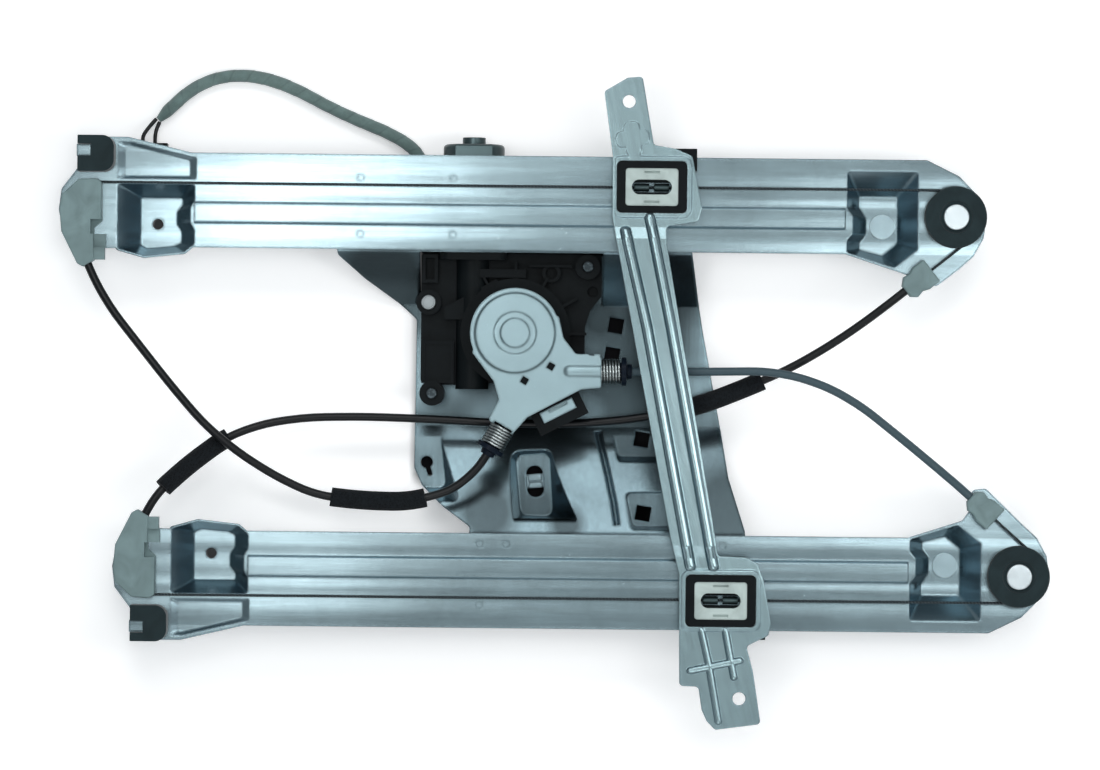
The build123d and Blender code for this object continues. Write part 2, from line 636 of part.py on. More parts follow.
def plate_blank():
    return outline([(-60.0, 8.0), (-70.0, 17.0), (-91.0, 32.0), (-107.0, 46.0), (-110.0, 60.0),
                    (-110.0, UPPER_INNER_Y + FLANGE_REACH), (106.0, UPPER_INNER_Y + FLANGE_REACH),
                    (106.0, 50.0), (113.7, 3.0), (125.4, -58.7), (129.8, -86.3), (139.5, -118.0),
                    (142.0, LOWER_INNER_Y - FLANGE_REACH), (-34.0, LOWER_INNER_Y - FLANGE_REACH),
                    (-26.0, -117.0), (-42.2, -105.2), (-55.6, -93.0), (-60.6, -82.0)], 3.0)


def plate_section(drop):
    """Side line of the plate from the lower rail's flange over the floor to the upper one."""
    return [(LOWER_INNER_Y - FLANGE_REACH - 5, FLANGE_Z - drop),
            (LOWER_INNER_Y + 1.0, FLANGE_Z - drop), (LOWER_RAMP_Y, FLOOR_Z - drop),
            (UPPER_RAMP_Y, FLOOR_Z - drop), (UPPER_INNER_Y - 1.0, FLANGE_Z - drop),
            (UPPER_INNER_Y + FLANGE_REACH + 5, FLANGE_Z - drop)]


def plate_pans():
    """Mouth, floor and floor height of each pan pressed into the sloping part."""
    slot = (outline([(-14.0, -57.0), (27.0, -59.0), (40.0, -119.0), (2.0, -119.0)], 8.0),
            outline([(1.0, -74.0), (21.5, -72.0), (24.0, -111.0), (4.0, -110.0)], 5.0), SLOT_PAD_Z)
    key = (outline([(-75.0, -48.0), (-38.0, -48.0), (-30.0, -104.0), (-75.0, -104.0)], 4.0),
           outline([(-70.0, -60.0), (-45.0, -60.0), (-41.0, -94.0), (-70.0, -94.0)], 4.0), 5.0)
    middle = (outline([(55.0, -49.0), (112.0, -48.0), (116.0, -84.0), (62.0, -84.0)], 4.0),
              outline([(58.0, -53.0), (106.0, -53.0), (108.0, -74.0), (63.0, -74.0)], 3.0), 4.0)
    right = (outline([(64.0, -90.0), (116.0, -88.0), (118.0, -119.0), (70.0, -119.0)], 4.0),
             outline([(67.5, -96.0), (112.0, -95.0), (113.0, -116.0), (72.0, -116.0)], 3.0), 18.0)
    return slot, key, middle, right


def motor_plate():
    """Pressed plate: a flat floor that slopes up to a flange under each rail."""
    front = plate_section(0.0)
    low = front[0][0], -ROOM
    high = front[-1][0], -ROOM
    sheet = Plane.YZ.offset(PLATE_X0) * outline(front + plate_section(PLATE_T)[::-1])
    under = Plane.YZ.offset(PLATE_X0) * outline(front + [high, low])
    plate = extrude(sheet, PLATE_RUN)
    under = extrude(under, PLATE_RUN)
    well_y = UPPER_INNER_Y - OVER
    plate -= block(WELL_X0, WELL_X1, UPPER_RAMP_Y - OVER, well_y, -OVER, FLANGE_Z + OVER)
    plate += block(WELL_X0, WELL_X1, UPPER_RAMP_Y - 2 * OVER, well_y - OVER, 0, PLATE_T)
    lobe_x, lobe_y = GEAR_SCREWS[0]
    room_r = LOBE_R + SEAT_GAP
    plate -= post(lobe_x, lobe_y, room_r, -OVER, FLANGE_Z + OVER)
    plate += post(lobe_x, lobe_y, room_r + LOBE_RIM, 0, PLATE_T)
    for mouth, floor, height in plate_pans():
        plate += under & pocket(mouth, floor, height - PLATE_T, height + PAN_REACH, PLATE_T)
    for mouth, floor, height in plate_pans():
        plate -= pocket(mouth, floor, height, height + PAN_REACH)
    plate &= prism(plate_blank(), -OVER, FLANGE_Z + OVER)
    for start, end in zip(PLATE_CREASE, PLATE_CREASE[1:]):
        plate -= rod(on_slope(*start), on_slope(*end), CREASE_R)
    for x, y in clinch_points():
        plate += post(x, y, CLINCH_R, FLANGE_Z - OVER, RAIL_BACK_Z)
        plate -= post(x, y, CLINCH_R - PLATE_T, FLANGE_Z - PLATE_T - OVER, FLANGE_Z + OVER)
    for x, y in SQUARE_HOLES:
        plate -= Pos(x, y, 0) * Rot(0, 0, SQUARE_TILT) * Box(SQUARE_HOLE, SQUARE_HOLE, ROOM)
    slot = SlotOverall(SLOT_LENGTH, SLOT_WIDTH)
    plate -= prism(Pos(*SLOT_CENTRE) * Rot(0, 0, 90 - SQUARE_TILT / 2) * slot, -OVER, ROOM)
    slit = SlotOverall(KEY_SLIT_LENGTH, KEY_SLIT_WIDTH)
    plate -= post(*KEYHOLE, KEYHOLE_R, -OVER, ROOM)
    plate -= prism(Pos(*KEY_SLIT) * Rot(0, 0, KEY_SLIT_TILT) * slit, -OVER, ROOM)
    for (x, y), radius, _ in gear_fasteners():
        plate -= post(x, y, radius + FIT, -OVER, PLATE_T + OVER)
    return plate


def on_slope(x, y):
    """A point over the plate's lower slope, so high that a groove only marks the sheet."""
    rise = (FLANGE_Z - FLOOR_Z) / (LOWER_RAMP_Y - LOWER_INNER_Y - 1.0)
    return x, y, FLOOR_Z + (LOWER_RAMP_Y - y) * rise + CREASE_R - CREASE_DEPTH


def clinch_points():
    """Places where the plate is clinched to the rails."""
    above = [(x, UPPER_INNER_Y + v) for x, v in UPPER_CLINCHES]
    below = [(x, LOWER_INNER_Y - v) for x, v in LOWER_CLINCHES]
    return above + below


# Gear housing and motor

def gear_housing():
    """Moulded housing of worm and wheel, with three screw lobes and stiffening ribs."""
    base = outline([(-57.0, 48.0), (52.0, 48.0), (52.0, 23.0), (45.0, 14.0), (42.0, 4.0),
                    (42.0, -13.0), (30.0, -22.0), (-22.0, -31.5), (-43.0, -31.5), (-57.0, -30.0),
                    (-57.0, 10.0)], 2.0)
    body = prism(base, FLOOR_Z, BASE_TOP_Z)
    body += post(0, 0, WHEEL_R, FLOOR_Z, GEAR_TOP_Z)
    for x, y in GEAR_SCREWS:
        body += post(x, y, LOBE_R, FLOOR_Z, LOBE_TOP_Z)
    body += rod((MOTOR_X, -34.0, MOTOR_Z), (MOTOR_X, 50.0, MOTOR_Z), WORM_TUBE_R)
    half = MOTOR_WIDTH / 2 + COLLAR_EDGE
    collar = block(MOTOR_X - half, MOTOR_X + half, COLLAR_Y0, MOTOR_Y0, FLOOR_Z, COLLAR_TOP_Z)
    body += fillet(collar.edges().filter_by(Axis.Y).group_by(Axis.Z)[-1], 6.0)
    low = BASE_TOP_Z - OVER
    high = WEDGE_TOP_Z + OVER
    for degrees in range(-60, 121, 30):
        rib = Pos(0, 0, low) * Rot(0, 0, degrees) * Pos(RIB_RUN, 0, 0)
        body += rib * Box(RIB_LENGTH, RIB_T, GEAR_TOP_Z - BASE_TOP_Z, align=LOW)
    body += block(*PANEL_BOX, low, PANEL_TOP_Z)
    body -= block(*inside(PANEL_BOX), PANEL_TOP_Z - PANEL_DEPTH, high)
    body += block(*CORNER_BOX, low, WEDGE_TOP_Z)
    body -= block(*inside(CORNER_BOX), low + BOX_WALL, high)
    wedge = outline([(-43.0, 15.0), (-43.0, 8.0), (-30.0, 8.0), (-11.0, 27.0), (-11.0, 33.0)], 0.8)
    body += prism(wedge, low, WEDGE_TOP_Z)
    body += block(*BRIDGE_BOX, low, high)
    body += block(*EDGE_RIB_BOX, low, WEDGE_TOP_Z)
    body += post(*BOSS_SPOT, BOSS_R, low, WEDGE_TOP_Z - OVER)
    body -= post(*BOSS_SPOT, BOSS_R - BOX_WALL, low + BOX_WALL, high)
    body -= post(*RECESS_SPOT, RECESS_R, low - RECESS_DEPTH, high)
    body &= block(-ROOM, ROOM, -ROOM, MOTOR_Y0, FLOOR_Z, ROOM)
    body -= post(0, 0, SHAFT_R + FIT, SHAFT_FOOT_Z - SEAT_GAP, ROOM)
    for (x, y), radius, _ in gear_fasteners():
        body -= post(x, y, radius + FIT, 0, ROOM)
    return body


def inside(box):
    """The flat size of a raised box's hollow, a wall smaller on each side."""
    x0, x1, y0, y1 = box
    return x0 + BOX_WALL, x1 - BOX_WALL, y0 + BOX_WALL, y1 - BOX_WALL


def gear_fasteners():
    """Place, shank radius and head radius: one ringed pin and two screws."""
    radii = [(LOBE_PIN_R, LOBE_PIN_HEAD_R), (SCREW_R, SCREW_HEAD_R), (SCREW_R, SCREW_HEAD_R)]
    return [(spot, *pair) for spot, pair in zip(GEAR_SCREWS, radii)]


def gear_housing_screws():
    """Two screws with hexagon sockets and a pin with a ring turned in its head."""
    screws = []
    for (x, y), shank_r, head_r in gear_fasteners():
        head = post(x, y, head_r, LOBE_TOP_Z, LOBE_TOP_Z + SCREW_HEAD_T)
        head = chamfer(head.edges().group_by(Axis.Z)[-1], HEAD_EDGE)
        shape = RegularPolygon(SCREW_SOCKET_R, 6)
        if head_r == LOBE_PIN_HEAD_R:
            shape = Circle(head_r - 2 * HEAD_EDGE) - Circle(head_r - 3 * HEAD_EDGE)
        mark = Pos(x, y) * shape
        mark = prism(mark, LOBE_TOP_Z + SCREW_HEAD_T / 2, LOBE_TOP_Z + SCREW_HEAD_T + OVER)
        screws.append(head + post(x, y, shank_r, 0.0, LOBE_TOP_Z) - mark)
    return Compound(children=screws)


def motor_can():
    """Drawn steel can with two flats, closed end and bearing boss."""
    across = Plane.XZ.offset(-MOTOR_Y0) * Pos(MOTOR_X, MOTOR_Z) * Circle(MOTOR_WIDTH / 2)
    can = extrude(across, -(MOTOR_Y1 - MOTOR_Y0))
    half = MOTOR_DEPTH / 2
    can &= block(-ROOM, ROOM, MOTOR_Y0, MOTOR_Y1, MOTOR_Z - half, MOTOR_Z + half)
    can = fillet(can.edges().group_by(Axis.Y)[-1], 2.5)
    return can + rod((MOTOR_X, MOTOR_Y1 - 1, MOTOR_Z), (MOTOR_X, MOTOR_BOSS_Y, MOTOR_Z), MOTOR_BOSS_R)


def motor_connector():
    """Brush holder and wire outlet beside the motor can."""
    x1 = MOTOR_X - MOTOR_WIDTH / 2 - COLLAR_EDGE
    body = block(CONNECTOR_X0, x1, CONNECTOR_Y0, CONNECTOR_Y1, CONNECTOR_Z0, CONNECTOR_Z1)
    body = fillet(body.edges().filter_by(Axis.Y), 2.0)
    inner = (HARNESS_X, CONNECTOR_Y1 - CONNECTOR_BORE, HARNESS_Z0)
    mouth = (HARNESS_X, CONNECTOR_Y1 + OVER, HARNESS_Z0)
    return body - rod(inner, mouth, HARNESS_R + FIT)


# Drum, housing, cover and outlets

def outlet_spots():
    """Start on the drum, direction, height and length of each cable outlet."""
    second = heading(OUTLET_2_ANGLE)
    start = heading(OUTLET_2_ANGLE + 90) * DRUM_PITCH_R
    return [(Vector(0, -DRUM_PITCH_R, OUTLET_1_Z), heading(0), OUTLET_END_1),
            (Vector(start.X, start.Y, OUTLET_2_Z), second, OUTLET_END_2)]


def arm_outline():
    return [(26.0, 11.0), (29.2, -2.8), (36.4, -12.0), (OUTLET_END_1, -13.6),
            (OUTLET_END_1, -32.4), (40.0, -33.5), (8.0, -50.5), (-1.4, -61.2), (-15.4, -52.4),
            (-9.2, -40.0), (-12.6, -29.0), (-26.3, -11.0)]


def drum_housing():
    """Moulded cup round the drum, with a solid arm and a bore for each cable."""
    shape = outline(arm_outline(), 1.5)
    arms = prism(offset(shape, -0.6), GEAR_TOP_Z, HOUSING_TOP_Z)
    body = arms + post(0, 0, HOUSING_R, GEAR_TOP_Z, HOUSING_TOP_Z)
    body += clip_spot() * block(*CLIP_SEAT, SEAT_FOOT_Z, SEAT_TOP_Z)
    x0, x1, y0, y1 = CLIP_BAR
    room = (x0 - CLIP_GAP, x1 + CLIP_GAP, y0 - CLIP_GAP, y1 + CLIP_GAP)
    body -= clip_spot() * block(*room, SEAT_TOP_Z - CLIP_SINK, SEAT_TOP_Z + OVER)
    body -= post(0, 0, CUP_R, GEAR_TOP_Z + HOUSING_FLOOR, HOUSING_TOP_Z + OVER)
    body -= post(0, 0, SHAFT_R + OVER, 0, HOUSING_TOP_Z)
    for start, along, length in outlet_spots():
        far = tuple(start + along * ROOM)
        body -= rod(tuple(start), far, OUTLET_BORE_R)
        body -= rod(tuple(start + along * (length - SPRING_SINK)), far, SPRING_R + SPRING_WIRE_R + FIT)
    return body


def clip_spot():
    """Frame of the clip beside the drum housing, x along the clip."""
    return Pos(*CLIP_CENTRE, 0) * Rot(0, 0, CLIP_ANGLE)


def housing_clip():
    """Light bar with a slot, let into its seat beside the drum housing."""
    top = SEAT_TOP_Z + CLIP_RISE
    body = clip_spot() * block(*CLIP_BAR, SEAT_TOP_Z - CLIP_SINK, top)
    body = fillet(body.edges().group_by(Axis.Z)[-1], 0.6)
    return body - clip_spot() * block(*CLIP_BAR_SLIT, top - OVER, top + OVER)


def plate_clip():
    """Steel clip under the slotted hole: a bridge with its middle pushed up into the hole."""
    spot = Pos(*SLOT_CENTRE, 0) * Rot(0, 0, -SQUARE_TILT / 2)
    top = SLOT_PAD_Z - PLATE_T
    body = block(*CLIP_BRIDGE, top - CLIP_T, top)
    body += block(*CLIP_TONGUE, top, top + CLIP_T)
    body -= block(*CLIP_SLIT, top, top + CLIP_T + OVER)
    return spot * body


def drum_cover():
    """Pressed cover: stepped disc over the drum, arms over the cable outlets."""
    top = HOUSING_TOP_Z + COVER_T
    body = prism(outline(arm_outline(), 1.5), HOUSING_TOP_Z, top)
    body += post(0, 0, COVER_R, HOUSING_TOP_Z, top)
    body -= post(0, 0, COVER_RING_R, 0, ROOM)
    line = [(24.6, 0.0), (23.3, 1.9), (13.2, 1.9), (12.2, 1.1), (9.2, 1.1), (8.3, 2.2), (0.0, 2.2)]
    face = outline([(r, top + h) for r, h in line]
                   + [(max(r - 0.6, 0.0), top + h - COVER_T) for r, h in line[::-1]])
    body += revolve(Plane.XZ * face, Axis.Z)
    bead_start = (OUTLET_BEAD_X, -DRUM_PITCH_R, top - OUTLET_BEAD_SINK)
    bead_end = (OUTLET_END_1, -DRUM_PITCH_R, top - OUTLET_BEAD_SINK)
    bead = rod(bead_start, bead_end, OUTLET_BEAD_R) + Pos(*bead_start) * Sphere(OUTLET_BEAD_R)
    body += bead & block(0, OUTLET_END_1, -ROOM, 0, top - COVER_T / 3, ROOM)
    start, along, length = outlet_spots()[1]
    mouth = start + along * (length - SPRING_SINK)
    body -= rod(tuple(mouth), tuple(start + along * ROOM), SPRING_R + SPRING_WIRE_R + FIT)
    for x in COVER_TABS:
        body += block(x - COVER_TAB_HALF, x + COVER_TAB_HALF, COVER_TAB_Y0, COVER_TAB_Y1, HOUSING_TOP_Z, top)
    for x, y in COVER_HOLES:
        body -= Pos(x, y, top) * Rot(0, 0, COVER_HOLE_TILT) * Box(COVER_HOLE, COVER_HOLE, 2 * COVER_T)
    return body


def cable_drum():
    """Drum: a track for the turns of cable between two rims, lightened by holes."""
    base = DRUM_Z0
    core = DRUM_PITCH_R - CABLE_R - FIT
    top = DRUM_Z0 + DRUM_T
    rim = DRUM_PITCH_R + DRUM_RIM
    face = outline([(SHAFT_R + FIT, base), (rim, base), (rim, base + DRUM_RIM_T),
                    (core, base + DRUM_FLANK_T), (core, top - DRUM_FLANK_T),
                    (rim, top - DRUM_RIM_T), (rim, top), (SHAFT_R + FIT, top)])
    body = revolve(Plane.XZ * face, Axis.Z)
    for i in range(DRUM_HOLES):
        hole = Rot(0, 0, 360 / DRUM_HOLES * i) * Pos(DRUM_HOLE_RUN, 0, base - OVER)
        body -= hole * Cylinder(DRUM_HOLE_R, DRUM_T - 2, align=LOW)
    return body


def drum_cable_turns():
    """The turns of cable wound on the drum."""
    turns = []
    for z in (OUTLET_1_Z - TURN_STEP, OUTLET_1_Z, OUTLET_2_Z):
        turns.append(Pos(0, 0, z) * Torus(DRUM_PITCH_R, CABLE_R))
    return Compound(children=turns)


def drum_shaft():
    return post(0, 0, SHAFT_R, SHAFT_FOOT_Z, HOUSING_TOP_Z - SEAT_GAP)


def outlet_spring(start, along, length):
    """Spring that keeps the cable cover pressed outwards: a close row of coils."""
    spot = start + along * (length - SPRING_SINK + SEAT_GAP)
    pitch = SPRING_LENGTH / SPRING_COILS
    inner = SPRING_R - SPRING_WIRE_R
    outer = SPRING_R + SPRING_WIRE_R
    points = [(inner - SPRING_WIRE_R, 0.0)]
    for i in range(SPRING_COILS):
        points += [(inner, pitch * i), (outer, pitch * (i + 0.25)),
                   (outer, pitch * (i + 0.65)), (inner, pitch * (i + 0.9))]
    points += [(inner, SPRING_LENGTH), (inner - SPRING_WIRE_R, SPRING_LENGTH)]
    coil = revolve(Plane.XZ * outline(points), Axis.Z)
    return Plane(origin=tuple(spot), z_dir=tuple(along)) * coil


def outlet_ferrule(start, along, length):
    """End piece that joins spring and cable cover."""
    spot = start + along * (length - SPRING_SINK + SEAT_GAP + SPRING_LENGTH)
    bore = CONDUIT_R + FIT
    face = outline([(bore, -FERRULE_HALF), (5.4, -FERRULE_HALF), (5.4, 0.0),
                    (SPRING_R + SPRING_WIRE_R, 0.0), (SPRING_R + SPRING_WIRE_R, 2.6), (4.6, 3.4),
                    (4.2, FERRULE_HALF), (bore, FERRULE_HALF)])
    piece = revolve(Plane.XZ * face, Axis.Z)
    return Plane(origin=tuple(spot), z_dir=tuple(along)) * piece


def drum_cable_tails():
    """Inner cable between the drum and the start of each cable cover."""
    tails = []
    for start, along, length in outlet_spots():
        stop = length - SPRING_SINK + SPRING_LENGTH - FERRULE_HALF
        tails.append(rod(tuple(start + along * TAIL_START), tuple(start + along * stop), CABLE_R))
    return Compound(children=tails)


# Glass carrier

def bar_outline():
    return [(52.0, 145.0), (65.8, 153.2), (74.8, 154.1), (82.0, 113.2), (94.7, 111.1),
            (105.1, 106.7), (111.2, 75.7), (109.0, 67.7), (90.0, 64.5), (90.2, 54.0),
            (122.9, -132.4), (139.7, -133.0), (146.5, -136.4), (150.2, -146.4), (154.9, -172.0),
            (153.5, -179.5), (140.4, -186.0), (144.5, -201.1), (149.3, -232.5), (122.0, -236.2),
            (117.0, -231.0), (113.9, -224.4), (111.8, -210.5), (100.4, -210.1), (100.0, -179.6),
            (99.7, -143.9), (94.0, -120.1), (60.2, 55.6), (57.6, 70.0), (57.4, 106.2)]


def bar_level(y):
    """Height of the bar's face: the pads at its ends lie lower than the middle."""
    down = (y - RISE_FOOT_Y) / RISE_RUN
    up = (RISE_TOP_Y - y) / RISE_RUN
    return BAR_FACE_Z + BAR_RISE * max(0.0, min(1.0, down, up))


def under_bar(drop):
    """The room under the bar's face, or under a face that lies lower by a drop."""
    breaks = [-BAR_REACH, RISE_FOOT_Y, RISE_FOOT_Y + RISE_RUN,
              RISE_TOP_Y - RISE_RUN, RISE_TOP_Y, BAR_REACH]
    side = [(y, bar_level(y) - drop) for y in breaks]
    face = outline(side + [(BAR_REACH, 0.0), (-BAR_REACH, 0.0)])
    return Pos(-BAR_REACH, 0, 0) * extrude(Plane.YZ * face, 2 * BAR_REACH)


def bead_line(points, radius):
    """A bead along a line of points: rods with round joints."""
    bead = Pos(*points[0]) * Sphere(radius)
    for start, end in zip(points, points[1:]):
        bead += rod(start, end, radius) + Pos(*end) * Sphere(radius)
    return bead


def cross_shape():
    """Outline of the cross that stiffens the upper pad, its foot at the window."""
    arms = RectangleRounded(CROSS_LENGTH, CROSS_WIDTH, CROSS_CORNER)
    arms += Rot(0, 0, 90) * arms
    foot = Pos(0, -CROSS_LENGTH / 2) * Rectangle(2 * CROSS_CORNER, CROSS_WIDTH)
    return Pos(*UPPER_CROSS) * Rot(0, 0, CROSS_TILT) * (arms + foot)


def carrier_bar():
    """Pressed bar with a folded lip, raised middle, beads, two windows and the glass holes."""
    edge = outline(bar_outline(), 2.5)
    inner_edge = offset(edge, -BAR_T)
    foot_z = BAR_FACE_Z - BAR_LIP
    top_z = BAR_FACE_Z + BAR_RISE + BEAD_R
    body = prism(edge, foot_z, top_z) & under_bar(0.0)
    body -= prism(inner_edge, foot_z - 1, top_z) & under_bar(BAR_T)
    above = prism(inner_edge, foot_z, top_z) - under_bar(BAR_T)
    for line in BAR_BEADS:
        spots = [(x, y, bar_level(y) - BEAD_SINK) for x, y in line]
        body += bead_line(spots, BEAD_R) & above
        body -= bead_line(spots, BEAD_R - BAR_T)
    for line in PAD_BEADS:
        spots = [(x, y, BAR_FACE_Z - PAD_BEAD_SINK) for x, y in line]
        body += bead_line(spots, PAD_BEAD_R) & above
    body += prism(cross_shape(), BAR_BACK_Z, BAR_FACE_Z + CROSS_RISE) & above
    windows = [Pos(UPPER_WINDOW_X, UPPER_CABLE_Y), Pos(LOWER_WINDOW_X, LOWER_CABLE_Y)]
    hole = RectangleRounded(WINDOW_LENGTH, WINDOW_WIDTH, WINDOW_CORNER)
    for spot in windows:
        rim = prism(spot * offset(hole, RIM_WIDTH), BAR_BACK_Z, BAR_FACE_Z + RIM_RISE)
        body += chamfer(rim.edges().group_by(Axis.Z)[-1], RIM_RISE - FIT) & above
    for spot in windows:
        body -= prism(spot * hole, 0, top_z)
    for x, y in (UPPER_GLASS_HOLE, LOWER_GLASS_HOLE):
        body -= post(x, y, GLASS_HOLE_R, 0, top_z)
    return body


def slider(window_x):
    """Moulded slider in the rail frame: keel, frame through the window, jaw round the edge."""
    x = window_x
    v = CABLE_V
    keel_v = RIB_V1 + SLIDER_GAP
    rib_z = RAIL_FACE_Z + RIB_RISE + SLIDER_GAP
    face_z = RAIL_FACE_Z + SLIDER_GAP
    body_x0 = x + BODY_DX0
    body_x1 = x + BODY_DX1
    body = block(body_x0, body_x1, v + BODY_DV0, v + BODY_DV1, rib_z, BAR_BACK_Z)
    body += block(body_x0, body_x1, keel_v, v + BODY_DV1, face_z, BAR_BACK_Z)
    neck = RectangleRounded(WINDOW_LENGTH, WINDOW_WIDTH, WINDOW_CORNER)
    body += Pos(x, v) * prism(offset(neck, -WINDOW_GAP), BAR_BACK_Z - OVER, FRAME_TOP_Z)
    edge = RAIL_WIDTH + JAW_GAP
    x0 = x + JAW_X0
    x1 = x + JAW_X1
    outer = edge + JAW_REACH
    body += block(x0 - JAW_ARM, x1, v + BODY_DV1 - JAW_ARM, outer, face_z, JAW_TOP_Z)
    body += block(x0, x1, edge, outer, JAW_FOOT_Z, face_z + OVER)
    body += block(x0, x1, edge - JAW_HOOK, outer, JAW_FOOT_Z, RAIL_FACE_Z - RAIL_LIP - SLIDER_GAP)
    tray = RectangleRounded(INSERT_LENGTH + 2 * FIT, INSERT_WIDTH + 2 * FIT, INSERT_CORNER + FIT)
    body -= Pos(x, v) * prism(tray, TRAY_Z, ROOM)
    body -= block(x - ROOM, x + ROOM, v - CABLE_ROOM_V, v + CABLE_ROOM_V, RAIL_FACE_Z, TRAY_Z)
    body -= block(x - NIPPLE_ROOM_X, x + NIPPLE_ROOM_X, v - NIPPLE_ROOM_V, v + NIPPLE_ROOM_V,
                  RAIL_FACE_Z, TRAY_Z)
    return body


def slider_insert(window_x):
    """Light insert that closes the slider, with a slot over the cable ends and two slits."""
    top = TRAY_Z + INSERT_T
    body = prism(RectangleRounded(INSERT_LENGTH, INSERT_WIDTH, INSERT_CORNER), TRAY_Z, top)
    body -= prism(SlotOverall(NIPPLE_SLOT_LENGTH, NIPPLE_SLOT_WIDTH), TRAY_Z - OVER, top + OVER)
    slit = Rectangle(NIPPLE_SLOT_WIDTH, INSERT_SLIT_DEPTH)
    for v in (-INSERT_SLIT_V, INSERT_SLIT_V):
        body -= prism(Pos(0, v) * slit, top - INSERT_SLIT_DEPTH, top + OVER)
    return Pos(window_x, CABLE_V) * body


def nipples(window_x):
    """Two cast cable ends in the slider's pocket."""
    ends = []
    half = NIPPLE_LENGTH / 2
    for x in (window_x - NIPPLE_DX, window_x + NIPPLE_DX):
        barrel = rod((x - half, CABLE_V, CABLE_Z), (x + half, CABLE_V, CABLE_Z), NIPPLE_R)
        bore = rod((x - half - OVER, CABLE_V, CABLE_Z), (x + half + OVER, CABLE_V, CABLE_Z),
                   CABLE_R + CABLE_GAP)
        ends.append(barrel - bore)
    return Compound(children=ends)


# Cords

def guide_exit(hole_x, exit_degrees, place):
    """Inner end of the cable cover in a left guide, and a point straight out of it."""
    centre = Vector(hole_x + TURN_START_DX, CABLE_V - TURN_R, 0)
    out = centre + heading(exit_degrees - 90) * TURN_R + heading(exit_degrees) * EXIT_RUN
    inner = out - heading(exit_degrees) * (SEAT_BORE_DEPTH - SEAT_GAP)
    beyond = out + heading(exit_degrees) * STRAIGHT_RUN
    return [place(Pos(p.X, p.Y, CABLE_Z)).position for p in (inner, beyond)]


def seat_exit(pulley_x, degrees, run, place):
    """Inner end of the cable cover in a right seat, and a point straight out of it."""
    tangent = Vector(pulley_x, CABLE_V - PULLEY_PITCH_R, 0) + heading(degrees + 90) * PULLEY_PITCH_R
    inner = tangent + heading(degrees) * (run - SEAT_BORE_DEPTH + SEAT_GAP)
    beyond = tangent + heading(degrees) * (run + STRAIGHT_RUN)
    return [place(Pos(p.X, p.Y, CABLE_Z)).position for p in (inner, beyond)]


def on_upper(spot):
    return Pos(spot.position.X, UPPER_INNER_Y + spot.position.Y, spot.position.Z)


def on_lower(spot):
    return Pos(spot.position.X, LOWER_INNER_Y - spot.position.Y, spot.position.Z)


def outlet_exit(start, along, length):
    """Inner end of the cable cover in an outlet, and a point straight out of it."""
    begin = length - SPRING_SINK + SPRING_LENGTH - FERRULE_HALF + 2 * SEAT_GAP
    return [start + along * begin, start + along * (begin + OUTLET_RUN)]


def conduit_paths():
    """The three cable covers: drum to lower seat, drum to upper guide, lower guide to upper seat."""
    first, second = outlet_spots()
    seat_end, seat_out = seat_exit(LOWER_PULLEY_X, LOWER_SEAT_ANGLE, LOWER_SEAT_RUN, on_lower)
    one = outlet_exit(*first) + CONDUIT_1_ROUTE + [seat_out, seat_end]
    guide_end, guide_out = guide_exit(UPPER_HOLE_X, UPPER_EXIT, on_upper)
    two = outlet_exit(*second) + CONDUIT_2_ROUTE + [guide_out, guide_end]
    low_end, low_out = guide_exit(LOWER_HOLE_X, LOWER_EXIT, on_lower)
    up_end, up_out = seat_exit(UPPER_PULLEY_X, UPPER_SEAT_ANGLE, UPPER_SEAT_RUN, on_upper)
    three = [low_end, low_out] + CONDUIT_3_ROUTE + [up_out, up_end]
    return [route_path(points) for points in (one, two, three)]


def sleeve(path, start, stop, name):
    """Foam sleeve round a cable cover, between two distances along it."""
    part = path.trim(start / path.length, stop / path.length)
    return tube(part, SLEEVE_R, name) - tube(part, CONDUIT_R + FIT, name + " bore")


def harness_wires():
    """The two bare wires between the taped bundle and the connector."""
    return Compound(children=[tube(route_path(points), WIRE_R, "wire") for points in WIRE_ROUTES])


def harness_plug():
    """Connector housing at the end of the harness, open to its mating half."""
    x0, x1, y0, y1, z0, z1 = PLUG_BOX
    body = block(x0, x1, y0, y1, z0, z1)
    body = fillet(body.edges().filter_by(Axis.Y), 1.5)
    wall = PLUG_WALL
    body -= block(x0 + wall, x1 - wall, y0 - OVER, y1 - PLUG_BACK, z0 + wall, z1 - wall)
    return body + block(*PLUG_LATCH, z1 - OVER / 2, z1 + PLUG_LATCH_RISE)


